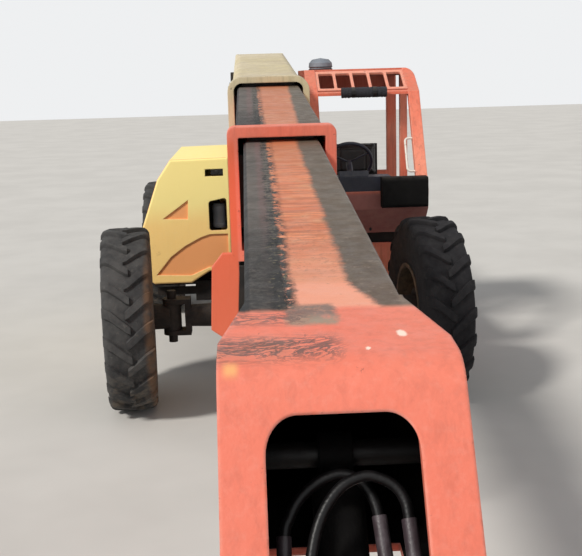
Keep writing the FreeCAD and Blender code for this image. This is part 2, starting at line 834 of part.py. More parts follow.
def head_point(x, up, behind):
    # a place behind the inclined face: across, up along the face, and square to it
    face = radians(face_angle)
    s = brow_s + fly_top * lean - behind * cos(face) - up * sin(face)
    return V(boom_x + x, -s, up * cos(face) - behind * sin(face))


# brackets from the cheeks, one each side of the tilt cylinder, take the lower ends of both hoses
brackets = []
for side in (-1, 1):
    low, high = sorted((side * (tilt_barrel_radius + 14), side * (cheek_inside + 1)))
    corners = [head_point(low, hose_clip - 16, 60), head_point(low, hose_clip, 60),
               head_point(low, hose_clip, 165), head_point(low, hose_clip - 16, 165)]
    side_face = Part.Face(Part.makePolygon(corners + corners[:1]))
    brackets.append(side_face.extrude(V(high - low, 0, 0)))
fly_boom = fuse([fly_boom, head_pin, tilt_pin] + brackets)
save("fly_boom", on_boom(fly_boom))

# hoses: how far behind the face, then places across and up the face, then fittings from and to along a leg
hose_foot = hose_clip + seat_gap
hose_table = [
    (90.0, [(-85, hose_foot), (-85, -80), (-74, 26), (-48, 128), (14, 198), (88, 200), (117, 140),
            (117, hose_foot)],
     [(117, -4, 78), (117, hose_foot, hose_foot + 40), (-85, hose_foot, hose_foot + 30)]),
    (130.0, [(-104, hose_foot), (-104, 118), (-64, 184), (-12, 200), (40, 184), (80, 118), (80, hose_foot)],
     [(80, 16, 86), (-104, 46, 86), (80, hose_foot, hose_foot + 40)]),
]
hoses = []
for behind, places, fittings in hose_table:
    pieces = [tube([head_point(x, up, behind) for x, up in places], hose_radius)]
    for x, low, high in fittings:
        pieces.append(bar(head_point(x, low, behind), head_point(x, high, behind), hose_fitting_radius))
    hoses.append(on_boom(fuse(pieces)))
save("head_hoses", *hoses)


# Cylinders: barrel hung at its foot, rod ending in an eye between two plates
def cylinder(foot, eye, barrel_radius, rod_radius, eye_radius, foot_pin, closed, width):
    way = (eye - foot).normalize()
    length = (eye - foot).Length
    half = width / 2
    side = V(half, 0, 0)
    barrel_start = foot + way * (eye_radius + 12)
    barrel_end = foot + way * (closed - eye_radius * 1.9)
    barrel = fuse([
        bar(foot - side, foot + side, eye_radius),
        bar(foot, barrel_start + way, half - 1),
        bar(barrel_start, barrel_end, barrel_radius),
        bar(barrel_end, barrel_end + way * 24, barrel_radius + 6),
    ])
    barrel = barrel.cut(bar(foot - side * 2, foot + side * 2, foot_pin + pin_gap))
    bore_start = barrel_start + way * 30
    barrel = barrel.cut(bar(bore_start, barrel_end + way * 30, rod_radius + pin_gap))
    rod_start = bore_start + way * 6
    rod = fuse([
        bar(rod_start + way * max(0.0, length - closed), eye, rod_radius),
        bar(eye - side, eye + side, eye_radius),
    ])
    return barrel, rod


lift_eye = boom_point(lift_eye_s, lift_eye_t)
lift_foot = V(boom_x, lift_foot_y, lift_foot_z)
lift_closed = (lift_eye - lift_foot).Length
lift_barrel, lift_rod = cylinder(lift_foot, lift_eye, lift_barrel_radius, lift_rod_radius,
                                 lift_eye_radius, lift_pin_radius, lift_closed, lift_eye_width)
save("lift_barrels", *[lift_barrel.translated(V(side * lift_spread, 0, 0)) for side in (-1, 1)])
save("lift_rods", *[lift_rod.translated(V(side * lift_spread, 0, 0)) for side in (-1, 1)])

level_eye = boom_point(level_eye_s, level_eye_t)
level_foot = V(boom_x, level_foot_y, level_foot_z)
level_closed = (level_eye - level_foot).Length
level_barrel, level_rod = cylinder(level_foot, level_eye, level_barrel_radius, level_rod_radius,
                                   level_eye_radius, level_pin_radius, level_closed, eye_width)
save("level_barrel", level_barrel)
save("level_rod", level_rod)

# Fork head: coupler on the head's pin, carriage, forks and the tilt cylinder inside the head
head_pin_at = boom_point(head_pin_s, head_pin_t)
coupler_half = cheek_inside - 6
tilt_foot_at = boom_point(tilt_foot_s, tilt_foot_t)
tilt_eye_at = boom_point(head_pin_s + tilt_arm_s, head_pin_t + tilt_arm_t)
hub = pipe(head_pin_at - V(coupler_half, 0, 0), head_pin_at + V(coupler_half, 0, 0), coupler_hub_radius,
           head_pin_radius + pin_gap)
coupler_pieces = [hub]
py, pz = head_pin_at.y, head_pin_at.z
carriage_back = carriage_y
for side in (-1, 1):
    low, high = sorted((side * coupler_arm_x, side * (coupler_arm_x + coupler_plate)))
    coupler_pieces.append(plate_x([
        (py + 30, pz - 50), (py + 10, pz + 57), (carriage_back, pz + 165), (carriage_back, carriage_low + 80),
        (carriage_back + 40, carriage_low + 80),
    ], boom_x + low, boom_x + high))
    low, high = sorted((side * (eye_width / 2 + lug_gap), side * (eye_width / 2 + lug_gap + lug_wall)))
    toward = (tilt_eye_at - head_pin_at).normalize()
    across = V(0, -toward.z, toward.y)
    corners = [head_pin_at + across * 50, tilt_eye_at + across * tilt_eye_radius,
               tilt_eye_at - across * tilt_eye_radius, head_pin_at - across * 50]
    coupler_pieces.append(plate_x([(p.y, p.z) for p in corners], boom_x + low, boom_x + high))
    coupler_pieces.append(bar(tilt_eye_at + V(low, 0, 0), tilt_eye_at + V(high, 0, 0), tilt_eye_radius))
coupler_half_face = coupler_arm_x + coupler_plate
coupler_pieces.append(box(boom_x - coupler_half_face, boom_x + coupler_half_face, carriage_back,
                          carriage_back + coupler_plate, carriage_low + 80, pz + 165))
coupler = fuse(coupler_pieces)
coupler = coupler.cut(bar(head_pin_at - V(300, 0, 0), head_pin_at + V(300, 0, 0), head_pin_radius + pin_gap))
save("coupler", coupler)

carriage_front = carriage_back - seat_gap
carriage_face = carriage_front - carriage_thick
carriage_half = carriage_width / 2
carriage_pieces = [
    box(boom_x - carriage_half, boom_x + carriage_half, carriage_face, carriage_front,
        carriage_low, carriage_low + carriage_bar),
    box(boom_x - carriage_half, boom_x + carriage_half, carriage_face, carriage_front,
        carriage_high - carriage_bar, carriage_high),
]
for x in (-carriage_half, -carriage_post_x - carriage_post, carriage_post_x, carriage_half - carriage_post):
    carriage_pieces.append(box(boom_x + x, boom_x + x + carriage_post, carriage_face, carriage_front,
                               carriage_low, carriage_high))
save("carriage", fuse(carriage_pieces))

forks = []
shank_back = carriage_face - seat_gap
shank_front = shank_back - fork_thick
blade_tip = shank_front - fork_length
fork_hook = carriage_high + seat_gap
for side in (-1, 1):
    x = boom_x + side * fork_spread
    fork = plate_x([
        (shank_back, fork_low), (shank_back, fork_hook), (carriage_front + 6, fork_hook),
        (carriage_front + 6, fork_hook + fork_hook_thick), (shank_front, fork_hook + fork_hook_thick),
        (shank_front, fork_low + fork_thick), (blade_tip, fork_low + fork_thick),
        (blade_tip, fork_low + fork_thick - fork_tip), (shank_front - fork_length * 0.4, fork_low),
    ], x - fork_width / 2, x + fork_width / 2)
    forks.append(fork)
save("forks", *forks)

tilt_barrel, tilt_rod = cylinder(tilt_foot_at, tilt_eye_at, tilt_barrel_radius, tilt_rod_radius,
                                 tilt_eye_radius, tilt_pin_radius, tilt_least_length, eye_width)
save("tilt_barrel", tilt_barrel)
save("tilt_rod", tilt_rod)

# Cab: open-sided guard frame of two side rings, lower panels, floor, roof and sloping roof grille
cab_side = [
    (cab_front, cab_base), (cab_nose + 20, cab_chin), (cab_nose, cab_sill), (cab_brow_y, cab_brow_z),
    (cab_crown_y, cab_roof), (cab_rear, cab_roof), (cab_rear, cab_base),
]


def inset_outline(outline, inset, x):
    corners = [V(x, y, z) for y, z in outline]
    face = Part.Face(Part.makePolygon(corners + corners[:1]))
    return face.makeOffset2D(-inset)


def cab_ring(x0, x1, band):
    whole = plate_x(cab_side, x0, x1)
    hole = inset_outline(cab_side, band, x0 - 1).extrude(V(x1 - x0 + 2, 0, 0))
    return whole.cut(hole)


cab_hollow = inset_outline(cab_side, cab_skin, cab_inner).extrude(V(cab_outer - cab_inner, 0, 0))
lower_zone = box(cab_inner, cab_outer, 0, cab_rear, cab_base, cab_sill)
lower_tub = plate_x(cab_side, cab_inner, cab_outer).cut(cab_hollow).common(lower_zone)
roof_zone = box(cab_inner, cab_outer, cab_crown_y, cab_rear, cab_roof - cab_skin - 5, cab_roof)
roof_plate = plate_x(cab_side, cab_inner, cab_outer).cut(cab_hollow).common(roof_zone)
inner_wall = plate_x(cab_side, cab_inner, cab_inner + cab_skin).common(lower_zone)
sill_rail = box(cab_inner, cab_outer, cab_nose - 40, cab_nose + 70, cab_sill - 50, cab_sill)
sill_rail = sill_rail.common(plate_x(cab_side, cab_inner, cab_outer))
rear_sill = box(cab_inner, cab_outer, cab_rear - cab_post, cab_rear, cab_sill - 50, cab_sill)
rear_head = box(cab_inner, cab_outer, cab_rear - cab_post, cab_rear, cab_roof - cab_post, cab_roof)
header = box(cab_inner, cab_outer, cab_rear - cab_skin, cab_rear, cab_roof - rear_header, cab_roof)
middle_posts = []
for low, high in ((cab_inner, cab_inner + cab_post), (cab_outer - cab_post, cab_outer)):
    middle_posts.append(box(low, high, cab_middle_post, cab_middle_post + cab_post, cab_base, cab_roof))
brow_bar = box(cab_inner, cab_outer, cab_brow_y, cab_brow_y + 40, cab_brow_z - 25, cab_brow_z + 8)
post_slope = (cab_brow_y - cab_nose) / (cab_brow_z - cab_sill)
grab_x = cab_outer - cab_side_width
grab_ends = []
for z in (grab_high, grab_low):
    grab_ends.append((cab_nose + post_slope * (z - cab_sill) + cab_post / 2, z))
(grab_top_y, grab_top_z), (grab_foot_y, grab_foot_z) = grab_ends
grab_rail = tube([
    V(grab_x + 5, grab_top_y, grab_top_z), V(grab_x - grab_reach, grab_top_y, grab_top_z),
    V(grab_x - grab_reach, grab_foot_y, grab_foot_z), V(grab_x + 5, grab_foot_y, grab_foot_z),
], grab_radius)
cab_shell = fuse([
    cab_ring(cab_inner, cab_inner + cab_side_width, cab_post),
    cab_ring(cab_outer - cab_side_width, cab_outer, cab_post),
    lower_tub, roof_plate, inner_wall, sill_rail, rear_sill, rear_head, header, brow_bar, grab_rail,
] + middle_posts)
cab_outline = rounded(plate_x(cab_side, cab_inner, cab_outer), 70, V(0, 1, 0),
                      lambda p: p.z > cab_roof - 1 and p.x > cab_outer - 1)
cab_shell = cab_shell.common(cab_outline)
save("cab_shell", cab_shell)

# Roof grille: sloping plate with a row of openings between the roof and the brow bar
slope = atan2(cab_roof - cab_brow_z, cab_crown_y - cab_brow_y)
slope_length = hypot(cab_roof - cab_brow_z, cab_crown_y - cab_brow_y)
grille_x0 = cab_inner + cab_side_width + seat_gap
grille_x1 = cab_outer - cab_side_width - seat_gap
grille = box(grille_x0, grille_x1, 48, slope_length - 24, -24, -4)
grille_pitch = (grille_x1 - grille_x0 - grille_bar) / grille_openings
for i in range(grille_openings):
    x0 = grille_x0 + grille_bar + i * grille_pitch
    hole = rounded(box(x0, x0 + grille_pitch - grille_bar, 78, slope_length - 62, -40, 10), 14, Z_AXIS)
    grille = grille.cut(hole)
grille = turned(grille, ORIGIN, X_AXIS, degrees(slope))
grille.translate(V(0, cab_brow_y, cab_brow_z))
save("cab_grille", grille)

# Cab fittings: seat, dash with the steering wheel, black fender box, beacon and roll-up shade
seat_x = (cab_inner + cab_outer) / 2
seat_top = cab_floor + seat_height
seat_base = fuse([
    box(seat_x - 170, seat_x + 170, seat_rear - 400, seat_rear - 60, cab_floor + seat_gap, seat_top - 30),
    box(seat_x - 240, seat_x + 240, seat_rear - 480, seat_rear, seat_top - 30, seat_top),
    box(seat_x - 230, seat_x + 230, seat_rear - 30, seat_rear, seat_top, seat_top + back_height),
])
save("seat_base", seat_base)
cushion = rounded(box(seat_x - 235, seat_x + 235, seat_rear - 475, seat_rear - 31,
                      seat_top + seat_gap, seat_top + cushion_thick), 35, X_AXIS)
backrest = rounded(box(seat_x - 225, seat_x + 225, seat_rear - 110, seat_rear - 30 - seat_gap,
                       seat_top + cushion_thick + 1, seat_top + back_height + 20), 30, X_AXIS)
save("seat_cushion", cushion, backrest)

dash = box(dash_inner, dash_outer, cab_nose + 8, cab_nose + dash_deep, cab_sill + seat_gap,
           cab_sill + dash_height)
column_foot = V(column_x, cab_nose + dash_deep - 40, cab_sill + 50)
column_head = V(column_x, cab_nose + dash_deep + 200, cab_sill + 195)
column = bar(column_foot, column_head, 24)
wheel_way = (column_head - column_foot).normalize()
rim_ring = Part.makeTorus(steering_radius, 14, column_head, wheel_way)
spokes = []
for step in range(3):
    spoke = bar(column_head, column_head + V(steering_radius, 0, 0), 9)
    spokes.append(turned(spoke, column_head, wheel_way, 90 + 120 * step))
save("dash", fuse([dash, column, rim_ring] + spokes))

fender_low = 2 * wheel_radius + 15
fender_box = box(fender_inner, cab_outer - fender_inset, cab_nose - fender_reach, cab_nose - seat_gap,
                 fender_low, cab_sill + dash_height)
fender_box = rounded(fender_box, 30, X_AXIS, lambda p: p.y < cab_nose - fender_reach + 30)
save("cab_fender", fender_box)

beacon_at = V(cab_inner + 148, cab_crown_y + 150, cab_roof + seat_gap)
beacon_profile = [(0, 0), (0.94, 0), (0.94, 20), (1, 24), (0.96, 58), (0.7, 86), (0, 98)]
corners = [beacon_at + V(share * beacon_radius, 0, z) for share, z in beacon_profile]
beacon = Part.Face(Part.makePolygon(corners + corners[:1])).revolve(beacon_at, Z_AXIS, 360)
save("beacon", beacon)
roll_y = cab_brow_y - roll_radius - 15
roll_pieces = [bar(V(roll_inner, roll_y, cab_brow_z), V(roll_outer, roll_y, cab_brow_z), roll_radius)]
for x in (roll_inner + 40, roll_outer - 70):
    roll_pieces.append(box(x, x + 30, roll_y, cab_brow_y - seat_gap, cab_brow_z - 12, cab_brow_z + 4))
roll = fuse(roll_pieces)
save("shade_roll", roll)

# Fuel and hydraulic tank under the cab, and the step below the doorway
tank_high = rail_high - 100 - seat_gap
tank = rounded(box(rail_out + seat_gap, tank_outer, cab_front + 100, cab_rear - 110, tank_low, tank_high),
               50, V(0, 1, 0), lambda p: p.x > rail_out + 10)
tank_inside = box(rail_out + tank_wall, tank_outer - 55, cab_front + 100 + tank_wall,
                  cab_rear - 110 - tank_wall, tank_low + 55, tank_high - 55)
save("tank", tank.cut(tank_inside))
step_pieces = []
step_x = cab_outer - 60
for y in (step_front, step_front + step_width - step_strap):
    step_pieces.append(box(step_x, step_x + 12, y, y + step_strap, step_rung_zs[0] - 10, cab_base - seat_gap))
for z in step_rung_zs:
    step_pieces.append(box(step_x - 120, step_x + 12, step_front, step_front + step_width, z, z + 12))
save("cab_step", fuse(step_pieces))

# Hood over the engine: shell open below and towards the boom, hinged along its inner top edge
# outer side of its section: in from the widest place, down from the top
hood_side = [(248, 7), (141, 162), (76, 343), (0, 558), (27, 648)]
hood_section = [(hood_inner, hood_low + hood_rise), (hood_inner, hood_top)]
hood_section += [(hood_outer + inward, hood_top - down) for inward, down in hood_side]
hood_section += [
    (hood_outer + 22, hood_low + 43), (hood_outer + hood_lip, hood_low), (hood_outer + 379, hood_low),
    (hood_outer + 528, hood_low + hood_rise),
]
hood_back = hood_rear - hood_wall
hood_face = hood_front + hood_wall
hood_solid = plate_y(hood_section, hood_front, hood_rear)
front_edges = [e for e in hood_solid.Edges if abs(e.CenterOfMass.y - hood_front) < 1]
outer_edges = [e for e in front_edges if e.CenterOfMass.x < hood_inner - 1]
hood_solid = hood_solid.makeFillet(hood_edge, outer_edges)
corners = [V(x, hood_face, z) for x, z in hood_section]
hollow_face = Part.Face(Part.makePolygon(corners + corners[:1])).makeOffset2D(-hood_wall)
hollow = hollow_face.extrude(V(0, hood_back - hood_face, 0))
below = box(hood_outer + hood_lip + 10, hood_inner + 40, hood_face, hood_back, hood_low - 40, hood_low + 400)
beside = box(hood_inner - hood_wall - 40, hood_inner + 40, hood_face, hood_back,
             hood_low - 40, hood_top - hood_wall - 12)
hood_solid = hood_solid.cut(hollow).cut(below).cut(beside)

# openings through the front: handle slot and air intake
slot = box(hood_inner - 183, hood_inner - 40, hood_front - 1, hood_face + 1, hood_top - 145, hood_top - 88)
intake = rounded(plate_y([
    (hood_inner - 165, hood_top - 580), (hood_inner - 22, hood_top - 580),
    (hood_inner - 22, hood_top - 318), (hood_inner - 165, hood_top - 345),
], hood_front - 1, hood_face + 1), 22, V(0, 1, 0))
# shallow recesses pressed into the front: the three-cornered one and the one over the wheel
corner_recess = plate_y([
    (hood_outer + 172, hood_top - 475), (hood_outer + 378, hood_top - 329),
    (hood_outer + 371, hood_top - 482),
], hood_front - 1, hood_front + hood_relief)
arch_recess = plate_y([
    (hood_outer + 100, hood_low + 73), (hood_outer + 220, hood_low + 217), (hood_outer + 337, hood_low + 303),
    (hood_outer + 468, hood_low + 371), (hood_outer + 541, hood_low + 393), (hood_inner - 20, hood_low + 393),
    (hood_inner - 20, hood_low + hood_rise + 35), (hood_outer + 528, hood_low + hood_rise + 35),
    (hood_outer + 380, hood_low + 62),
], hood_front - 1, hood_front + hood_relief)
hood_solid = hood_solid.cut(slot).cut(intake).cut(corner_recess).cut(arch_recess)
# louvres through the outer side, at the rear
for i in range(louvre_count):
    y = hood_rear - 180 - i * louvre_pitch
    hood_solid = hood_solid.cut(box(hood_outer - 5, hood_outer + hood_lip - 10, y - louvre_width, y,
                                    hood_low + 130, hood_low + 290))

hinge_z = hood_top - 8
hinge_ys = [hood_front + 135, (hood_front + hood_rear - hinge_sleeve) / 2, hood_rear - 260]
sleeves = []
for y in hinge_ys:
    sleeve = pipe(V(hinge_x, y, hinge_z), V(hinge_x, y + hinge_sleeve, hinge_z), 13, 8 + pin_gap)
    leaf = box(hood_inner - 4, hinge_x - 10, y, y + hinge_sleeve, hinge_z - 4, hinge_z + 4)
    sleeves += [sleeve, leaf]
save("hood", fuse([hood_solid] + sleeves))
wall_front = hood_front + hinge_wall_inset
wall_back = hood_rear - hinge_wall_inset
wall_pieces = [
    box(hinge_x - 5, hinge_x + 5, wall_front, wall_back, rail_high + seat_gap, hinge_z - 22),
    box(hinge_x, hinge_x + 30, wall_front, wall_back, rail_high + seat_gap, rail_high + 40),
    bar(V(hinge_x, wall_front, hinge_z), V(hinge_x, wall_back, hinge_z), 8),
]
for y in (wall_front + 10, hinge_ys[0] + 320, hinge_ys[1] + 320, wall_back - 60):
    wall_pieces.append(box(hinge_x - 5, hinge_x + 5, y, y + 50, hinge_z - 22, hinge_z))
save("hood_wall", fuse(wall_pieces))

# Tail lamps on the counterweight
lamps = []
for side in (-1, 1):
    lamp = box(-lamp_wide / 2, lamp_wide / 2, 0, lamp_thick, -lamp_high / 2, lamp_high / 2)
    lamp.translate(V(side * lamp_x, counterweight_rear + seat_gap, lamp_z))
    lamps.append(lamp)
save("tail_lamps", *lamps)
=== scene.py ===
import bpy
import bmesh
import random
from math import cos, exp, pi, radians, sin, sqrt
from mathutils import Matrix, Vector


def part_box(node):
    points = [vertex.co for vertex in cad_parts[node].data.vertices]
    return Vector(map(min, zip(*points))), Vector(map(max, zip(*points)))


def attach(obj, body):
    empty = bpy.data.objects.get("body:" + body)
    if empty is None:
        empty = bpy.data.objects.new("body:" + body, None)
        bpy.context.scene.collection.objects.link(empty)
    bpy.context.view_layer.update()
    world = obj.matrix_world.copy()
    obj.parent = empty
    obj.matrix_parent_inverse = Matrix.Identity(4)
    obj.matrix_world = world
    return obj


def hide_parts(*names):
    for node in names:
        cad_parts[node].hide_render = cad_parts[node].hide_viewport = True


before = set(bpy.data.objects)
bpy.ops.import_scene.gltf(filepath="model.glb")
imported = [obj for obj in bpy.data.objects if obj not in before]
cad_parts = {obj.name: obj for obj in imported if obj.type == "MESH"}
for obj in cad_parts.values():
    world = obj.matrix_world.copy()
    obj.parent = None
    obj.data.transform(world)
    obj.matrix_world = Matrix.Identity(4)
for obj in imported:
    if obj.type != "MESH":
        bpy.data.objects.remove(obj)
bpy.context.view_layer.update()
rng = random.Random(7)
CORNERS = ("front_left", "front_right", "rear_left", "rear_right")


def middle(node):
    low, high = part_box(node)
    return (low + high) / 2


# The front axle's place; the machine is laid out from it, in millimetres
AXLE_Y = (middle("front_left_tyre").y + middle("front_right_tyre").y) / 2
BOOM_X, PIVOT_Y, PIVOT_Z, BOOM_DOWN = -56.0, 3650.0, 2250.0, radians(4.42)
# The head's leaning face: where its plane meets the boom's line, its lean, and its plate's depth along the boom
FACE_S, FACE_COS, FACE_SIN, FACE_TAN, PLATE_THICK = 9466.7, 0.8049, 0.5934, 0.7373, 0.0222
# The pin at the head's foot, along the boom and square to it
PIN_S, PIN_T = 9690, -575
X_WAY, Y_WAY, Z_WAY = Vector((1, 0, 0)), Vector((0, 1, 0)), Vector((0, 0, 1))


def P(x, y, z):
    return Vector((x / 1000, y / 1000 + AXLE_Y, z / 1000))


def B(x, s, t):
    # x across the boom, s forward along it from its pivot, t square to it
    y = PIVOT_Y - s * cos(BOOM_DOWN) - t * sin(BOOM_DOWN)
    z = PIVOT_Z - s * sin(BOOM_DOWN) + t * cos(BOOM_DOWN)
    return P(BOOM_X + x, y, z)


def placed(name, data):
    obj = bpy.data.objects.new(name, data)
    bpy.context.scene.collection.objects.link(obj)
    return obj


def modifier(obj, kind, **settings):
    mod = obj.modifiers.new(kind.lower(), kind)
    for name, value in settings.items():
        setattr(mod, name, value)
    return mod


# Camera at the photograph's viewing angle, for a 582 x 556 picture
CAMERA_AT = P(-198.6, -7192.5, 2354.0)
YAW, PITCH, ROLL = 0.0388, 0.198, -0.0282
FOCAL_PIXELS, PICTURE_WIDE, SENSOR = 1010.96, 582.0, 36.0

right = Vector((cos(YAW), -sin(YAW), 0))
ahead = Vector((sin(YAW), cos(YAW), 0))
forward = ahead * cos(PITCH) - Z_WAY * sin(PITCH)
upward = Z_WAY * cos(PITCH) + ahead * sin(PITCH)
across = right * cos(ROLL) + upward * sin(ROLL)
upright = upward * cos(ROLL) - right * sin(ROLL)
lens = bpy.data.cameras.new("camera")
lens.sensor_width = SENSOR
lens.lens = FOCAL_PIXELS / PICTURE_WIDE * SENSOR
lens.clip_end = 200
camera = placed("camera", lens)
camera.matrix_world = Matrix((
    (across.x, upright.x, -forward.x, CAMERA_AT.x),
    (across.y, upright.y, -forward.y, CAMERA_AT.y),
    (across.z, upright.z, -forward.z, CAMERA_AT.z),
    (0, 0, 0, 1)))
bpy.context.scene.camera = camera


# Materials: small node graphs, all laid out in the row frame. A tint is a triple from 0 to 255, as seen on a screen.
def linear(tint):
    shares = [c / 255 for c in tint]
    return (*[c / 12.92 if c <= 0.04045 else ((c + 0.055) / 1.055) ** 2.4 for c in shares], 1.0)


def shade(tint, factor, lift=0):
    return tuple(min(255, c * factor + lift) for c in tint)


def faded(tint, share):
    return tuple(c + (255 - c) * share for c in tint)


class Finish:
    def __init__(self, name):
        self.mat = bpy.data.materials.new(name)
        self.mat.use_nodes = True
        self.tree = self.mat.node_tree
        self.tree.nodes.clear()
        out = self.node("ShaderNodeOutputMaterial")
        self.shader = self.node("ShaderNodeBsdfPrincipled")
        self.put(self.shader.outputs[0], out.inputs[0])
        place = self.node("ShaderNodeTexCoord")
        self.place = place.outputs["Object"]
        self.facing_up = self.split(place.outputs["Normal"])[2]
        self.x, self.y, self.z = self.split(self.place)
        self.rounded = None
        self.rough = 0.5
        self.bumps = []

    def node(self, kind, **inputs):
        # inputs by name, with _ for a space; put() takes a tuple as a tint, so places are Vectors
        node = self.tree.nodes.new(kind)
        for name, value in inputs.items():
            self.put(value, node.inputs[name.replace("_", " ")])
        return node

    def put(self, value, socket):
        if isinstance(value, bpy.types.NodeSocket):
            self.tree.links.new(value, socket)
        else:
            socket.default_value = linear(value) if isinstance(value, tuple) else value

    def split(self, vector):
        return list(self.node("ShaderNodeSeparateXYZ", Vector=vector).outputs)

    def stretched(self, x, y, z, where=None):
        return self.node("ShaderNodeMapping", Vector=where or self.place, Scale=Vector((x, y, z))).outputs[0]

    def noise(self, scale, detail=4.0, rough=0.6, where=None, warp=0.0):
        return self.node("ShaderNodeTexNoise", Vector=where or self.place, Scale=scale, Detail=detail,
                         Roughness=rough, Distortion=warp).outputs[0]

    def cells(self, scale):
        return self.node("ShaderNodeTexVoronoi", Vector=self.place, Scale=scale).outputs["Distance"]

    def step(self, value, low, high, start=0.0, end=1.0, kind="SMOOTHSTEP"):
        node = self.node("ShaderNodeMapRange", Value=value, From_Min=low, From_Max=high, To_Min=start, To_Max=end)
        node.interpolation_type = kind
        return node.outputs["Result"]

    def spots(self, low, high, scale, detail=4.0, rough=0.6, start=0.0, end=1.0):
        # from start to end as the noise rises from low to high
        return self.step(self.noise(scale, detail, rough), low, high, start, end)

    def math(self, kind, *values):
        result = values[0]
        for value in values[1:] or (0.0,):
            node = self.node("ShaderNodeMath")
            node.operation = kind
            self.put(result, node.inputs[0])
            self.put(value, node.inputs[1])
            result = node.outputs[0]
        return result

    def times(self, *values):
        return self.math("MULTIPLY", *values) if len(values) > 1 else values[0]

    def most(self, *values):
        return self.math("MAXIMUM", *values)

    def plus(self, *values):
        return self.math("ADD", *values)

    def minus(self, *values):
        return self.math("SUBTRACT", *values)

    def mix(self, fac, a, b):
        node = self.node("ShaderNodeMix")
        node.data_type = "RGBA"
        for value, socket in ((fac, 0), (a, 6), (b, 7)):
            self.put(value, node.inputs[socket])
        return node.outputs[2]

    def layers(self, base, *rows):
        # rows: a tint and the masks that it shows through, laid over base in turn
        for tint, *masks in rows:
            base = self.mix(self.times(*masks), base, tint)
        return base

    def lay(self, tint, *masks):
        self.base = self.layers(self.base, (tint, *masks))

    def band(self, value, low, high, soft):
        # 1 between low and high, with soft ends
        return self.times(self.step(value, low - soft, low + soft), self.step(value, high - soft, high + soft, 1, 0))

    def edges(self, radius):
        # 1 on the outer and inner edges, where a rounded normal leaves the real one
        soft = self.node("ShaderNodeBevel", Radius=radius)
        soft.samples = 4
        self.rounded = soft.outputs[0]
        dot = self.node("ShaderNodeVectorMath")
        dot.operation = "DOT_PRODUCT"
        self.put(self.rounded, dot.inputs[0])
        self.put(self.node("ShaderNodeNewGeometry").outputs["Normal"], dot.inputs[1])
        return self.step(dot.outputs["Value"], 0.995, 0.86)

    def finish(self, metallic=0.0, shine=0.5):
        for name, value in (("Base Color", self.base), ("Roughness", self.rough), ("Metallic", metallic),
                            ("Specular IOR Level", shine)):
            self.put(value, self.shader.inputs[name])
        normal = self.rounded
        for height, metres in self.bumps:
            node = self.node("ShaderNodeBump", Distance=metres, Height=height)
            if normal:
                self.put(normal, node.inputs["Normal"])
            normal = node.outputs[0]
        if normal:
            self.put(normal, self.shader.inputs["Normal"])
        return self.mat


def weathered(name, tint, pale, dust=0.35, chips=0.5, rough=0.55, chip_tint=(70, 48, 40), streak=0.5, wear_and_glint=0.5):
    # sun-bleached paint: two tones, vertical streaks, chipped edges paled partly by wear and partly as a painted
    # highlight, and dust lying on top
    f = Finish(name)
    f.base = f.mix(f.spots(0.35, 0.68, 1.3, 3), tint, pale)
    f.lay(shade(tint, 0.78), f.step(f.noise(6, 4, 0.65, f.stretched(7, 7, 0.7), 0.3), 0.42, 0.75), streak)
    f.lay(faded(pale, 0.45), f.spots(0.45, 0.75, 60, 5, 0.7), 0.10)
    edge = f.edges(0.009)
    # edges paled partly by wear and partly as a painted highlight
    f.lay(faded(pale, 0.5), edge, f.spots(0.3, 0.55, 22, 4, 0.7), wear_and_glint)
    scrapes = f.step(f.noise(26, 4, 0.75, f.stretched(1, 0.35, 1)), 0.665, 0.70)
    nicks = f.times(edge, f.spots(0.6, 0.66, 38, 3, 0.7), wear_and_glint)
    chip = f.most(f.times(scrapes, chips), nicks)
    f.lay(chip_tint, chip)
    f.lay((158, 140, 118), f.step(f.facing_up, 0.3, 0.95), f.spots(0.3, 0.7, 5, 5, 0.7), dust)
    f.rough = f.spots(0.25, 0.8, 18, start=rough - 0.08, end=rough + 0.2)
    f.bumps = [(f.noise(140, 3), 0.0006), (chip, -0.0006), (f.noise(3, 2), 0.004)]
    return f


def paint(*args, **words):
    return weathered(*args, **words).finish()


def boom_frame(f):
    # position turned into the boom's own x, s and t, in metres
    shift = f.node("ShaderNodeVectorMath")
    shift.operation = "SUBTRACT"
    f.put(f.place, shift.inputs[0])
    shift.inputs[1].default_value = P(BOOM_X, PIVOT_Y, PIVOT_Z)
    turned = f.node("ShaderNodeMapping", Vector=shift.outputs[0], Rotation=Vector((-BOOM_DOWN, 0, 0))).outputs[0]
    x, back, t = f.split(turned)
    return x, f.times(back, -1.0), t, turned


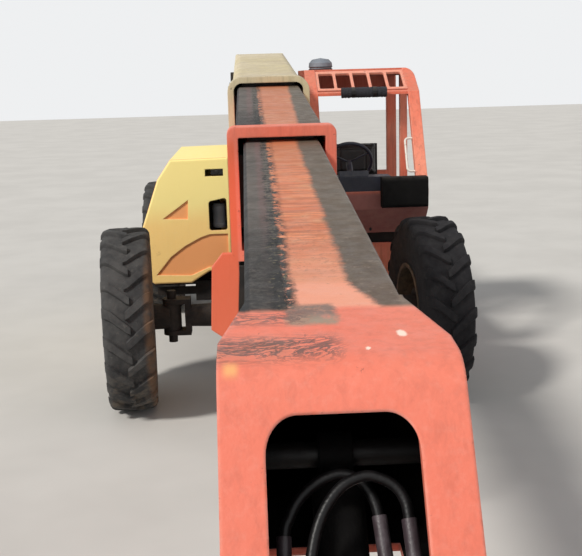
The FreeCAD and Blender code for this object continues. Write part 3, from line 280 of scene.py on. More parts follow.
def boom_paint(name, half, top, s_low, s_high, strip_left, strip_right, lean_left, lean_right, head=False):
    # orange boom; between s_low and s_high its top is rubbed, with greased strips along both edges
    # strip_left and strip_right: where the strips meet the rubbed middle, across the boom; both lines lean with s
    f = weathered(name, (232, 120, 96), (238, 132, 108), dust=0.08, chips=0.35, streak=0.3, wear_and_glint=0.35)
    x, s, t, turned = boom_frame(f)
    along = f.stretched(1.6, 15, 5, turned)
    lines = f.noise(3.2, 6, 0.74, along, 0.5)
    broad = f.noise(1.1, 3, 0.6, along, 0.3)
    crumbs = f.noise(62, 5, 0.82, turned)
    clots = f.noise(24, 5, 0.78, turned)
    patches = f.noise(6, 4, 0.7, turned)
    on_top = f.step(t, top - 0.020, top - 0.008)
    beside = f.step(t, top - 0.045, top - 0.030)
    in_run = f.times(f.step(s, s_low, s_low + 0.02),
                     f.step(f.plus(s, f.times(patches, 0.05)), s_high - 0.005, s_high + 0.03, 1, 0))
    if not head:
        in_run = f.times(in_run, f.step(t, top + 0.006, top + 0.003))
    # the rubbed middle: fine lines across, paler and plainer towards the front
    rubbed = f.layers(
        f.mix(f.step(broad, 0.36, 0.62), (224, 142, 100), (206, 118, 80)),
        ((168, 96, 64), f.step(lines, 0.46, 0.56), 0.75),
        ((214, 164, 126), f.step(patches, 0.5, 0.72, 0, 0.6)),
        ((176, 108, 72), f.step(s, s_high - 1.3, s_high - 2.2, 0, 0.65)),
        ((222, 152, 122), f.step(s, s_high - 0.75, s_high - 0.05), 0.8),
        ((132, 84, 58), f.band(s, s_high - 0.85, s_high - 0.25, 0.12), f.step(crumbs, 0.54, 0.62), 0.5),
        ((240, 162, 134), f.step(s, s_high - 0.22, s_high - 0.17), 0.75),
        ((128, 92, 66), f.step(clots, 0.63, 0.68), 0.5))
    if not head:
        rubbed = f.mix(0.45, rubbed, (168, 108, 80))
    f.lay(rubbed, on_top, in_run)
    ragged = f.times(f.minus(f.noise(46, 5, 0.8, turned), 0.5), 0.034)
    edge_x = f.plus(x, f.plus(ragged, f.times(f.minus(patches, 0.5), 0.03)))
    late = f.step(s, s_high - 1.1, s_high - 0.35)
    behind = f.minus(s, s_high)
    left_x = f.plus(edge_x, f.times(behind, lean_left))
    right_x = f.plus(edge_x, f.times(behind, lean_right))
    if head:
        right_x = f.minus(right_x, f.step(s, s_high - 0.20, s_high, 0, 0.045))
    # left strip, on the machine's right: dry grey-brown grease, turning to black crumbs ahead
    left = f.times(f.step(left_x, strip_left + 0.004, strip_left - 0.004), in_run, beside)
    dry = f.layers(f.mix(f.step(patches, 0.35, 0.65), (74, 69, 64), (92, 84, 78)),
                   ((106, 78, 76), f.band(edge_x, -half * 0.72, -half * 0.58, 0.008), 0.5))
    crumbly = f.layers(f.mix(f.step(crumbs, 0.42, 0.6), (22, 21, 21), (72, 67, 63)),
                       ((136, 128, 120), f.step(clots, 0.62, 0.7, 0, 0.7)))
    f.lay(f.mix(f.times(late, 0.85), dry, crumbly), left)
    # right strip: smooth grey-green film with a pale outer edge
    film = f.layers(f.mix(f.step(patches, 0.3, 0.65), (62, 63, 52), (78, 74, 62)),
                    ((44, 41, 40), late, f.step(crumbs, 0.45, 0.62), 0.6),
                    ((128, 118, 106), late, f.step(clots, 0.56, 0.62), 0.5),
                    ((116, 104, 90), f.step(x, half - 0.016, half - 0.006), 0.5))
    f.lay(film, f.step(right_x, strip_right - 0.012, strip_right + 0.012), in_run, beside, 0.94)
    # black crumbs where the left strip meets the middle
    seam = f.times(f.band(left_x, strip_left - 0.026, strip_left + 0.020, 0.010), in_run, on_top)
    f.lay((15, 14, 15), seam, f.step(f.plus(clots, f.times(late, 0.06)), 0.50, 0.53))
    f.lay((138, 128, 98), seam, f.step(crumbs, 0.57, 0.62), 0.75)
    f.lay((18, 18, 20), f.step(x, 0.014 - half, 0.008 - half), in_run, on_top, 0.9)
    # black grease down the side next to the left strip
    f.lay((22, 24, 26), f.step(x, 0.004 - half, -half), f.step(t, top - 0.12, top - 0.04), in_run, 0.96)
    if head:
        brow_marks(f, x, s, t, turned, top, edge_x, ragged, crumbs, patches, on_top)
        # painted shade inside the fly boom
        painted_inside_shade(f, x, s, t, patches)
    else:
        # the collar and its tongue are a stronger orange on the machine's right
        f.lay((224, 104, 66), f.step(x, -0.196, -0.204), f.step(t, top, top - 0.05), 0.75)
    f.bumps += [(f.times(crumbs, left, late), 0.010), (f.times(clots, f.most(seam, f.times(left, 0.4))), 0.006),
                (f.times(lines, on_top, in_run), 0.0016)]
    f.rough = f.plus(f.rough, f.times(left, 0.12))
    return f.finish()


def brow_marks(f, x, s, t, turned, top, edge_x, ragged, crumbs, patches, on_top):
    # the fly boom's brow: a grey patch at the end of the rubbed run, dark swirls on the machine's right, and chips
    patch = f.times(f.band(f.plus(s, ragged), 8.885, 9.010, 0.016), f.band(edge_x, -0.082, 0.016, 0.010), on_top)
    grey_tone = f.layers(f.mix(f.step(s, 8.93, 8.99), (104, 94, 86), (142, 136, 118)),
                         ((176, 128, 104), f.step(crumbs, 0.5, 0.62, 0, 0.6)))
    f.lay(grey_tone, patch, f.spots(0.25, 0.42, 13), 0.9)
    swirl = f.band(f.noise(7, 6, 0.7, f.stretched(1, 1.8, 1.8, turned), 3.5), 0.455, 0.545, 0.02)
    zone = f.times(f.band(s, 9.075, 9.185, 0.03), f.step(x, -0.02, 0.03, 1, 0), f.step(t, top - 0.06, top - 0.03))
    first = f.times(f.band(s, 8.93, 9.0, 0.03), f.step(x, -0.06, -0.03, 1, 0), on_top)
    f.lay((186, 122, 98), f.most(zone, first), f.step(patches, 0.38, 0.6), 0.5)
    f.lay((98, 74, 68), f.most(zone, f.times(first, 0.9)), swirl, 0.9)
    f.lay((60, 44, 40), zone, f.step(crumbs, 0.62, 0.66), 0.8)
    # pale chips: across, along, size
    for spot_x, spot_s, size in ((0.124, 9.079, 0.012), (0.054, 9.152, 0.006)):
        near_s = f.times(f.minus(s, spot_s), 0.55)
        far = f.math("SQRT", f.plus(f.math("POWER", f.minus(x, spot_x), 2.0), f.math("POWER", near_s, 2.0)))
        far = f.plus(far, f.times(f.minus(crumbs, 0.5), 0.012))
        f.lay((252, 226, 208), f.step(far, size, size * 0.5), on_top)
    bare = f.times(f.band(s, 9.195, 9.222, 0.012), f.band(x, -0.197, -0.174, 0.008), f.step(t, top - 0.03, top - 0.01))
    f.lay((240, 176, 112), bare, 0.85)


def painted_inside_shade(f, x, s, t, patches):
    # painted shade: nearly black inside the fly boom, in its tube and behind the face plate between the cheeks
    across_x = f.math("ABSOLUTE", x)
    cheek = f.step(s, 8.86, 9.10, 0.1435, 0.1915, "LINEAR")
    face = f.times(t, FACE_TAN)
    plate = f.minus(FACE_S / 1000 - PLATE_THICK, face, s)
    back = f.plus(f.minus(s, FACE_S / 1000 - 0.400 + PLATE_THICK), face)
    in_head = f.times(f.step(f.minus(cheek, across_x), -0.0008, -0.0004), f.step(plate, -0.0004, 0.0004),
                      f.step(t, 0.3242, 0.3238), f.step(s, 8.84, 8.841), f.step(t, -0.60, -0.56),
                      f.most(f.step(t, -0.0812, -0.0808), f.step(back, -0.0004, 0.0004)))
    in_tube = f.times(f.step(across_x, 0.1518, 0.1514), f.band(t, -0.0888, 0.3318, 0.0002), f.step(s, 8.862, 8.861))
    f.lay(f.mix(f.step(patches, 0.4, 0.7), (10, 8, 8), (20, 15, 14)), f.most(in_head, in_tube))


def dirty(name, tint, dust_tint, dust=0.6, rough=0.75, metallic=0.0, oily=0.3, shine=0.3):
    f = Finish(name)
    f.base = f.mix(f.spots(0.3, 0.7, 4, 5, 0.7), tint, shade(tint, 1.45, 6))
    f.lay(dust_tint, f.spots(0.35, 0.65, 7, 6, 0.75), f.step(f.facing_up, -0.6, 0.9, 0.35, 1.0), dust)
    f.lay(shade(tint, 1.5, 30), f.edges(0.006), f.spots(0.4, 0.6, 24, 4, 0.7), 0.45)
    wet = f.spots(0.6, 0.72, 2.2, 3, end=oily)
    f.lay((14, 13, 12), wet)
    f.rough = f.minus(f.spots(0.2, 0.8, 22, start=rough - 0.1, end=rough + 0.12), f.times(wet, 0.6))
    f.bumps = [(f.noise(70, 5, 0.75), 0.0015), (f.noise(9, 3), 0.004)]
    return f.finish(metallic, shine)


def plastic(name, tint, rough=0.5, grain=0.0004, dust=0.2, shine=0.4):
    f = Finish(name)
    f.base = f.mix(f.spots(0.35, 0.7, 3), tint, shade(tint, 1.25, 8))
    f.lay((140, 128, 112), f.step(f.facing_up, 0.2, 1.0), f.spots(0.35, 0.7, 12, 5), dust)
    f.lay(shade(tint, 1.4, 26), f.edges(0.005), 0.3)
    f.rough = f.spots(0.2, 0.8, 25, 3, start=rough - 0.08, end=rough + 0.14)
    f.bumps = [(f.noise(420, 2), grain)]
    return f.finish(0.0, shine)


def rubber_tyre(name):
    f = Finish(name)
    f.base = f.mix(f.spots(0.3, 0.7, 6, 5, 0.7), (46, 46, 47), (74, 73, 72))
    f.lay((104, 100, 95), f.spots(0.55, 0.75, 30, 5, 0.8, end=0.6))
    f.lay((110, 82, 60), f.step(f.math("ABSOLUTE", f.x), 0.945, 0.905), f.spots(0.25, 0.6, 9), 0.75)
    f.lay((122, 108, 92), f.step(f.z, 0.55, 0.1), f.spots(0.45, 0.7, 12, 5, 0.75), 0.5)
    # painted shade: the machine's left pair are made darker and blacker, as if standing in the shade of the cab
    f.lay((17, 15, 20), f.step(f.x, 0.5, 0.9), f.spots(0.25, 0.45, 5, 3, start=0.75, end=0.95), 0.85)
    f.rough = f.spots(0.2, 0.8, 20, start=0.72, end=0.95)
    f.bumps = [(f.noise(120, 4, 0.8), 0.0015), (f.noise(18), 0.003)]
    return f.finish(0.0, 0.3)


def rim_paint(name):
    f = weathered(name, (176, 158, 118), (190, 172, 136), dust=0.3, chips=0.6)
    caked = f.mix(f.spots(0.35, 0.65, 10, 5, 0.75), (44, 36, 30), (88, 70, 54))
    f.lay(caked, f.step(f.math("ABSOLUTE", f.x), 1.135, 1.115), f.spots(0.0, 0.2, 5), 0.96)
    f.lay((126, 104, 80), f.spots(0.45, 0.65, 7, 5, 0.7), 0.55)
    return f.finish()


def metal(name, tint, rough, streak):
    f = Finish(name)
    lines = f.noise(40, 3, 0.6, f.stretched(1, 6, 6))
    f.base = f.mix(f.step(lines, 0.3, 0.7, 0, streak), tint, shade(tint, 0.6))
    f.rough = f.step(lines, 0.2, 0.8, rough, rough + 0.15)
    f.bumps = [(lines, 0.0002)]
    return f.finish(1.0)


def vinyl(name, tint):
    f = Finish(name)
    f.base = f.mix(f.spots(0.4, 0.7, 5, end=0.6), tint, shade(tint, 1.6, 10))
    f.rough = f.spots(0.2, 0.8, 14, 3, start=0.42, end=0.62)
    f.bumps = [(f.cells(260), 0.0006), (f.noise(22, 3), 0.002)]
    return f.finish()


def cloth(name, tint):
    f = Finish(name)
    weave = f.noise(300, 2, 0.5, f.stretched(1, 3, 3))
    f.base = f.mix(f.step(weave, 0.3, 0.7), tint, shade(tint, 1.7, 12))
    f.rough = 0.9
    f.bumps = [(weave, 0.001), (f.noise(30, 3, 0.6, f.stretched(1, 4, 4)), 0.006)]
    return f.finish()


def ribbed_lens(name, tint):
    f = Finish(name)
    ribs = f.noise(180, 1, 0.3, f.stretched(1, 0.2, 0.2))
    f.base = f.mix(f.step(ribs, 0.3, 0.7, 0, 0.5), tint, shade(tint, 0.5))
    f.rough = 0.18
    f.bumps = [(ribs, 0.001)]
    return f.finish()


def hood_paint(name):
    # moulded hood: a painted highlight makes its upper half yellower where the sun reaches it, painted shade dulls its
    # pressed recesses, and darker blotches lie towards the bottom
    f = weathered(name, (254, 212, 132), (255, 217, 138), dust=0.08, chips=0.0, streak=0.05, wear_and_glint=0.4)
    drift = f.times(f.minus(f.noise(2.4, 3), 0.5), 0.25)
    # painted highlight: the upper half lighter and yellower, as the sun falls on it
    f.lay((255, 236, 154), f.step(f.plus(f.z, drift), 1.16, 1.42), 0.9)
    front = AXLE_Y + 0.845
    # painted shade on the recessed faces just behind the hood's front
    f.lay((240, 154, 98), f.band(f.y, front + 0.007, front + 0.018, 0.002), f.band(f.x, -1.02, -0.375, 0.004), 0.85)
    f.lay((176, 120, 72), f.spots(0.62, 0.7, 9, 5, 0.75), f.step(f.z, 1.25, 0.8), 0.35)
    return f.finish()


def cab_paint(name):
    # guard frame: rosy dust with painted shade on its lower panels, a white grab rail, and painted shade under the
    # roof
    f = weathered(name, (228, 112, 84), (240, 146, 118), dust=0.3, chips=0.6)
    # rosy dust, darkened further as painted shade, on the lower panels at the front
    dust_and_shade = f.mix(f.spots(0.35, 0.65, 6, 5, 0.7), (122, 80, 80), (140, 94, 90))
    f.lay(dust_and_shade, f.step(f.z, 1.47, 1.42), f.step(f.y, AXLE_Y + 0.90, AXLE_Y + 0.86), 0.85)
    # painted shade: the downward faces under the roof made dark maroon
    f.lay((122, 44, 30), f.step(f.z, 2.18, 2.20), f.step(f.facing_up, 0.4, -0.1),
          f.step(f.y, AXLE_Y + 1.34, AXLE_Y + 1.38), f.step(f.x, 1.185, 1.175), 0.75)
    f.lay(f.mix(f.spots(0.55, 0.66, 30), (226, 222, 212), (150, 140, 126)), f.band(f.x, 1.030, 1.1032, 0.0006),
          f.band(f.y, AXLE_Y + 0.58, AXLE_Y + 0.86, 0.002), f.band(f.z, 1.572, 1.856, 0.002))
    return f.finish()


def hose_paint(name, tint, pale, shine):
    f = Finish(name)
    f.base = f.mix(f.spots(0.4, 0.7, 30), tint, pale)
    f.rough = 0.42
    f.bumps = [(f.noise(160, 2, 0.5), 0.0006)]
    return f.finish(0.0, shine)


cab_orange = cab_paint("cab_orange_paint")
salmon = paint("salmon_paint", (240, 152, 126), (246, 172, 148), dust=0.2, chips=0.6, chip_tint=(110, 34, 30))
coupler_orange = paint("coupler_paint", (228, 108, 70), (236, 122, 84), dust=0.15, chips=0.7)
fly_paint = boom_paint("fly_boom_paint", 0.161, 0.3415, 5.4, 8.925, -0.080, 0.060, 0.006, 0.0, head=True)
mid_paint = boom_paint("mid_boom_paint", 0.195, 0.3755, 3.2, 6.535, -0.085, 0.078, 0.004, 0.020)
cream = paint("cream_paint", (206, 192, 150), (214, 200, 168), dust=0.45, chips=0.5, chip_tint=(92, 84, 70))
hood_tan = hood_paint("hood_tan_paint")
dark_frame = dirty("dark_frame", (19, 17, 16), (66, 55, 46), 0.42)
castings = dirty("dusty_castings", (23, 20, 19), (78, 63, 51), 0.55)
rubber = rubber_tyre("tyre_rubber")
rim_cream = rim_paint("rim_cream")
chrome = metal("rod_chrome", (205, 205, 208), 0.12, 0.12)
worn_steel = metal("worn_steel", (120, 108, 98), 0.45, 0.7)
pad = plastic("wear_pad", (34, 33, 32), 0.6)
seat_vinyl = vinyl("seat_vinyl", (24, 23, 24))
black = plastic("black_plastic", (15, 14, 15), 0.5)
grey = plastic("grey_plastic", (104, 110, 118), 0.5)
slate = plastic("slate_plastic", (28, 30, 42), 0.45)
hose_black = hose_paint("hose_black", (11, 10, 11), (22, 20, 21), 0.3)
fitting_grey = hose_paint("fitting_grey", (58, 48, 52), (82, 74, 78), 0.5)
# painted shade: the tilt barrel inside the fly boom made near black
painted_shade_black = dirty("painted_shade_black", (11, 10, 10), (26, 23, 21), 0.3, 0.75, 0.0, 0.1, 0.15)
# near-black fender, darkened further as painted shade
fender_black_and_shade = plastic("fender_black_and_shade", (7, 6, 6), 0.7, 0.0006, 0.05, 0.12)
roll = cloth("rolled_shade", (24, 24, 28))
red_lens = ribbed_lens("red_lens", (150, 18, 14))
fork_black = dirty("fork_black", (30, 29, 28), (96, 80, 66), 0.35, 0.5, 0.2, 0.0)

node_finish = {
    "fly_boom": fly_paint, "mid_boom": mid_paint, "base_boom": cream, "base_pads": pad, "mid_pads": pad,
    "beacon": grey, "cab_fender": fender_black_and_shade, "cab_grille": salmon, "cab_shell": cab_orange, "cab_step": dark_frame,
    "carriage": fork_black, "forks": fork_black, "counterweight": castings, "coupler": coupler_orange, "dash": slate,
    "driveline": castings, "engine": castings, "frame": dark_frame, "front_axle": castings, "rear_axle": castings,
    "hood": hood_tan, "hood_wall": dark_frame, "level_barrel": dark_frame, "level_rod": chrome,
    "lift_barrels": dark_frame, "lift_rods": chrome, "tilt_barrel": painted_shade_black, "tilt_rod": chrome,
    "seat_base": black, "seat_cushion": seat_vinyl, "shade_roll": roll, "tail_lamps": red_lens, "tank": cab_orange,
    "head_hoses": hose_black,
}
for corner in CORNERS:
    node_finish[corner + "_tyre"] = rubber
    node_finish[corner + "_rim"] = rim_cream
    node_finish[corner + "_knuckle"] = castings
for name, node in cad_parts.items():
    node.data.materials.clear()
    node.data.materials.append(node_finish[name])


# Mesh making: every form is built straight in the row frame, in metres
def circle(centre, side, other, radius, count):
    # points round a centre, in the plane of side and other
    return [centre + (side * cos(2 * pi * i / count) + other * sin(2 * pi * i / count)) * radius
            for i in range(count)]


def sideways(way):
    # two directions square to way and to each other
    side = way.orthogonal().normalized()
    return side, way.cross(side)


class Form:
    def __init__(self):
        self.bm = bmesh.new()

    def add(self, points, faces):
        made = [self.bm.verts.new(p) for p in points]
        for face in faces:
            self.bm.faces.new([made[i] for i in face])

    def prism(self, outline, offset):
        # outline: points in the row frame; offset: the vector it is pushed along
        count = len(outline)
        points = list(outline) + [p + offset for p in outline]
        sides = [(i, (i + 1) % count, count + (i + 1) % count, count + i) for i in range(count)]
        self.add(points, [tuple(reversed(range(count))), tuple(range(count, 2 * count))] + sides)

    def box(self, low, high):
        corners = ((low.x, low.y), (high.x, low.y), (high.x, high.y), (low.x, high.y))
        self.prism([Vector((x, y, low.z)) for x, y in corners], Z_WAY * (high.z - low.z))

    def rings(self, rings, loop=False):
        # a skin over rings of points; it closes on its first ring, or else gets two flat ends
        count, total = len(rings[0]), len(rings)
        faces = []
        for k in range(total if loop else total - 1):
            a, b = k * count, ((k + 1) % total) * count
            faces += [(a + i, a + (i + 1) % count, b + (i + 1) % count, b + i) for i in range(count)]
        if not loop:
            faces.append(tuple(reversed(range(count))))
            faces.append(tuple(range((total - 1) * count, total * count)))
        self.add([p for ring in rings for p in ring], faces)

    def rod(self, start, end, radius, sides=16, end_radius=None):
        side, other = sideways((end - start).normalized())
        self.rings([circle(start, side, other, radius, sides),
                    circle(end, side, other, radius if end_radius is None else end_radius, sides)])

    def hose(self, path, radius, sides):
        # path: points of a smooth line; the tube keeps its twist from ring to ring
        rings = []
        side = (path[1] - path[0]).orthogonal().normalized()
        for k, point in enumerate(path):
            way = (path[min(k + 1, len(path) - 1)] - path[max(k - 1, 0)]).normalized()
            side = (side - way * side.dot(way)).normalized()
            rings.append(circle(point, side, way.cross(side), radius, sides))
        self.rings(rings)

    def bolt(self, at, way, across_flats, high, washer=True):
        way = way.normalized()
        side, other = sideways(way)

        def ring(radius, lift, sides=6):
            return circle(at + way * lift, side, other, radius, sides)
        sunk = -0.003
        if washer:
            self.rings([ring(across_flats * 0.82, sunk, 16), ring(across_flats * 0.82, 0.0025, 16)])
        corner = across_flats / sqrt(3)
        self.rings([ring(corner, sunk), ring(corner, high * 0.85), ring(corner * 0.84, high)])

    def mesh(self, name):
        bmesh.ops.recalc_face_normals(self.bm, faces=self.bm.faces)
        mesh = bpy.data.meshes.new(name)
        self.bm.to_mesh(mesh)
        self.bm.free()
        return mesh

    def piece(self, name, material, body, slot, bevel=0.0, sharp=32):
        mesh = self.mesh(name)
        mesh.shade_smooth()
        mesh.set_sharp_from_angle(angle=radians(sharp))
        mesh.materials.append(material)
        obj = placed(name, mesh)
        if bevel:
            modifier(obj, "BEVEL", width=bevel, segments=2, limit_method="ANGLE", angle_limit=radians(35),
                     harden_normals=True)
        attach(obj, body)
        return obj


# Tyres: a rounded casing with staggered bars, bent over the shoulder
RADIUS, LUGS = 0.660, 20
FRONT_TURN = radians(5.5)
casing = [
    (0.155, 0.307), (0.156, 0.327), (0.163, 0.350), (0.163, 0.356), (0.168, 0.362), (0.172, 0.420), (0.1742, 0.480),
    (0.1735, 0.500), (0.1742, 0.506), (0.172, 0.545), (0.166, 0.585), (0.158, 0.607), (0.143, 0.620), (0.115, 0.627),
    (0.070, 0.630), (0.0, 0.631),
]


def bar_height(x):
    # outer radius of a bar at this distance from the tyre's middle plane
    return RADIUS - 0.0005 - 0.010 * (x / 0.15) ** 4


def wheel_point(centre, turn, x, r, a):
    # x along the axle, r and a round it; the whole wheel is turned about its upright middle line
    y = -r * cos(a)
    return centre + Vector((x * cos(turn) - y * sin(turn), x * sin(turn) + y * cos(turn), r * sin(a)))


def tyre_form(centre, turn, phase):
    form = Form()
    outline = casing + [(-x, r) for x, r in reversed(casing[:-1])]
    steps, count = 96, len(outline)
    points = [wheel_point(centre, turn, x, r, 2 * pi * k / steps) for k in range(steps) for x, r in outline]
    faces = []
    for k in range(steps):
        a, b = k * count, ((k + 1) % steps) * count
        faces += [(a + i, a + i + 1, b + i + 1, b + i) for i in range(count - 1)]
    form.add(points, faces)
    # a bar's run: distance from the middle plane, outer radius, radius of its foot
    run = [(-0.016, None, 0.626), (0.010, None, 0.626), (0.045, None, 0.626), (0.080, None, 0.624),
           (0.112, None, 0.620), (0.138, None, 0.612), (0.156, 0.640, 0.600), (0.1695, 0.618, 0.590),
           (0.1721, 0.592, 0.582)]
    for hand in (-1, 1):
        for n in range(LUGS):
            start = 2 * pi * (n + (0.5 if hand > 0 else 0.0)) / LUGS + phase
            wobble = rng.uniform(-0.004, 0.004)
            rings = []
            for k, (x, top, foot) in enumerate(run):
                top = bar_height(max(x, 0)) if top is None else top
                top -= rng.uniform(0.0, 0.0035)
                lead = 0.86 * max(x, -0.01) if x < 0.12 else 0.103 + (x - 0.12) * 0.45
                wide = (0.026 if k == 0 else 0.031 + 0.004 * min(k, 4) / 4) + rng.uniform(-0.0015, 0.0015)
                ring = []
                for across_part, height in ((-1.18, foot), (-1.0, top - 0.007), (-0.86, top), (0.86, top),
                                            (1.0, top - 0.007), (1.18, foot)):
                    a = start + (lead + across_part * wide + wobble) / RADIUS
                    ring.append(wheel_point(centre, turn, hand * x, height, a))
                rings.append(ring)
            form.rings(rings)
    return form


for corner in CORNERS:
    centre = middle(corner + "_tyre")
    side = 1 if "left" in corner else -1
    turn = FRONT_TURN if "front" in corner else 0.0
    tyre = tyre_form(centre, turn, rng.uniform(0, 0.3))
    obj = tyre.piece(corner + "_tyre_tread", rubber, corner + "_wheel", "tyre_rubber", sharp=38)
    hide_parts(corner + "_tyre")
    # wheel nuts and hub cover screws
    nuts = Form()
    out = Vector((side * cos(turn), side * sin(turn), 0))
    for n in range(12):
        nuts.bolt(wheel_point(centre, turn, side * 0.054, 0.182, 2 * pi * n / 12), out, 0.030, 0.024)
    for n in range(8):
        nuts.bolt(wheel_point(centre, turn, side * 0.1235, 0.080, 2 * pi * (n + 0.5) / 8), out, 0.016, 0.007, False)
    nuts.piece(corner + "_wheel_nuts", worn_steel, corner + "_wheel", "cast_dark")


# Hoses looped in the head, behind its opening: places across and up the face, in millimetres
def H(x, up, behind):
    return B(x, FACE_S - FACE_COS * behind - FACE_SIN * up, FACE_COS * up - FACE_SIN * behind)


def smooth_path(points, steps=8):
    # a curve through the points
    path = []
    ends = [points[0] * 2 - points[1]] + points + [points[-1] * 2 - points[-2]]
    for a, b, c, d in zip(ends, ends[1:], ends[2:], ends[3:]):
        for k in range(steps):
            u = k / steps
            path.append((b * 2 + (c - a) * u + (a * 2 - b * 5 + c * 4 - d) * u * u
                         + (b * 3 - a - c * 3 + d) * u * u * u) / 2)
    return path + [points[-1]]


# how far behind the face each loop lies, and its places
hose_lines = [
    (90.0, [(-85, -172), (-85, -90), (-78, 10), (-68, 85), (-56, 145), (-40, 187), (-19, 218), (5, 238), (39, 248),
            (68, 240), (89, 225), (101, 203), (105, 176), (109, 110), (113, 20), (116, -80), (117, -172)]),
    (130.0, [(-104, -172), (-106, -60), (-108, 60), (-104, 159), (-94, 188), (-81, 212), (-60, 234), (-32, 251),
             (0, 259), (28, 249), (47, 225), (58, 190), (65, 120), (74, 10), (79, -90), (80, -172)]),
]
hoses, fittings = Form(), Form()
for behind, places in hose_lines:
    hoses.hose(smooth_path([H(x, up, behind) for x, up in places]), 0.0098, 14)
for behind, start, end in (
        (90.0, (105, 174), (110, 92)), (130.0, (60, 186), (66, 112)), (130.0, (-105, 158), (-106, 122)),
        (90.0, (117, -172), (116, -134)), (90.0, (-85, -172), (-85, -142)),
        (130.0, (80, -172), (79, -134)), (130.0, (-104, -172), (-105, -142))):
    fittings.rod(H(*start, behind), H(*end, behind), 0.0132, 18)
hoses = hoses.piece("head_hose_loops", hose_black, "fly_boom", "hose_rubber", sharp=60)
fittings = fittings.piece("head_hose_fittings", fitting_grey, "fly_boom", "cast_dark", bevel=0.0012)
for obj in (hoses, fittings):
    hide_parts("head_hoses")


# Seat: two pads swollen as cloth over foam, then sewn
def pad_block(name, low, high, corner, voxel):
    form = Form()
    form.box(low, high)
    obj = placed(name + "_start", form.mesh(name))
    modifier(obj, "BEVEL", width=corner, segments=4)
    modifier(obj, "REMESH", mode="VOXEL", voxel_size=voxel)
    even = bpy.data.meshes.new_from_object(obj.evaluated_get(bpy.context.evaluated_depsgraph_get()))
    bpy.data.objects.remove(obj)
    even.name = name
    return even


def swollen(mesh, held, pressure, cap):
    # held: which points rest on the seat base; the others swell, no further than cap
    start = [v.co.copy() for v in mesh.vertices]
    obj = placed(mesh.name + "_cloth", mesh)
    group = obj.vertex_groups.new(name="held")
    group.add([i for i, p in enumerate(start) if held(p)], 1.0, "REPLACE")
    mod = modifier(obj, "CLOTH")
    settings = mod.settings
    settings.quality = 5
    settings.mass = 0.3
    settings.use_pressure = True
    settings.uniform_pressure_force = pressure
    settings.effector_weights.gravity = 0
    settings.vertex_group_mass = "held"
    frames = 20
    mod.point_cache.frame_start, mod.point_cache.frame_end = 1, frames
    scene = bpy.context.scene
    for number in range(1, frames + 1):
        scene.frame_set(number)
    grown = obj.evaluated_get(bpy.context.evaluated_depsgraph_get())
    ends = [v.co.copy() for v in grown.data.vertices]
    scene.frame_set(1)
    bpy.data.objects.remove(obj)
    for i, end in enumerate(ends):
        way = end - start[i]
        if way.length > cap:
            ends[i] = start[i] + way * (cap / way.length)
    return ends


def padded_piece(name, low, high, corner, held, crown, sewing, inside):
    # crown: how a point moves for the foam's rise; sewing: how far in a seam pulls a point, and which way
    mesh = pad_block(name, low, high, corner, 0.0075)
    for v, point in zip(mesh.vertices, swollen(mesh, held, 4.0, 0.012)):
        v.co = crown(point)
    mesh.update()
    moved = [v.co + sewing(v.co, v.normal) for v in mesh.vertices]
    for v, point in zip(mesh.vertices, moved):
        v.co = Vector([min(max(point[i], inside[0][i]), inside[1][i]) for i in range(3)])
    mesh.update()
    mesh.shade_smooth()
    mesh.materials.clear()
    mesh.materials.append(seat_vinyl)
    obj = placed(name, mesh)
    modifier(obj, "SUBSURF", levels=1, render_levels=1)
    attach(obj, "chassis")
    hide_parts("seat_cushion")


SEAT_X, SEAT_Y = 0.741, AXLE_Y + 1.757
seat_low, seat_high = P(506, 1535, 1348.6), P(976, 1979.4, 1448.0)
back_low, back_high = P(516, 1900.4, 1449.6), P(966, 1979.4, 1748.0)


def groove(distance, depth, width):
    return depth * exp(-(distance / width) ** 2)


def dome(u, v, rise):
    # highest in the middle, nothing at the rims, where u or v is 1
    return rise * max(0.0, 1 - u * u) * max(0.0, 1 - v * v)


def cushion_crown(p):
    upper = max(0.0, min(1.0, (p.z - 1.40) / 0.03))
    return p + Z_WAY * (dome((p.x - SEAT_X) / 0.232, (p.y - SEAT_Y) / 0.222, 0.011) * upper)


def cushion_sewing(p, normal):
    if normal.z > 0.3:
        pull = groove(abs(p.x - SEAT_X) - 0.115, 0.011, 0.0075)
        if abs(p.x - SEAT_X) < 0.2:
            pull += groove(abs(p.y - SEAT_Y) - 0.165, 0.006, 0.007)
        return Z_WAY * -pull
    return -normal * groove(p.z - 1.402, 0.004, 0.005)


def back_crown(p):
    front_part = max(0.0, min(1.0, (AXLE_Y + 1.945 - p.y) / 0.03))
    return p - Y_WAY * (dome((p.x - SEAT_X) / 0.222, (p.z - 1.599) / 0.150, 0.010) * front_part)


def back_sewing(p, normal):
    if normal.y < -0.3:
        return Y_WAY * (groove(abs(p.x - SEAT_X) - 0.115, 0.010, 0.0075) + groove(p.z - 1.68, 0.006, 0.007))
    return -normal * groove(p.y - (AXLE_Y + 1.935), 0.004, 0.005)


padded_piece("seat_cushion_pad", seat_low + Vector((0.011, 0.011, 0.0006)), seat_high - Vector((0.011, 0.011, 0.020)),
             0.026, lambda p: p.z < 1.354, cushion_crown, cushion_sewing, (seat_low, seat_high))
padded_piece("seat_back_pad", back_low + Vector((0.011, 0.018, 0.010)), back_high - Vector((0.011, 0.0006, 0.010)),
             0.024, lambda p: p.y > AXLE_Y + 1.974, back_crown, back_sewing, (back_low, back_high))

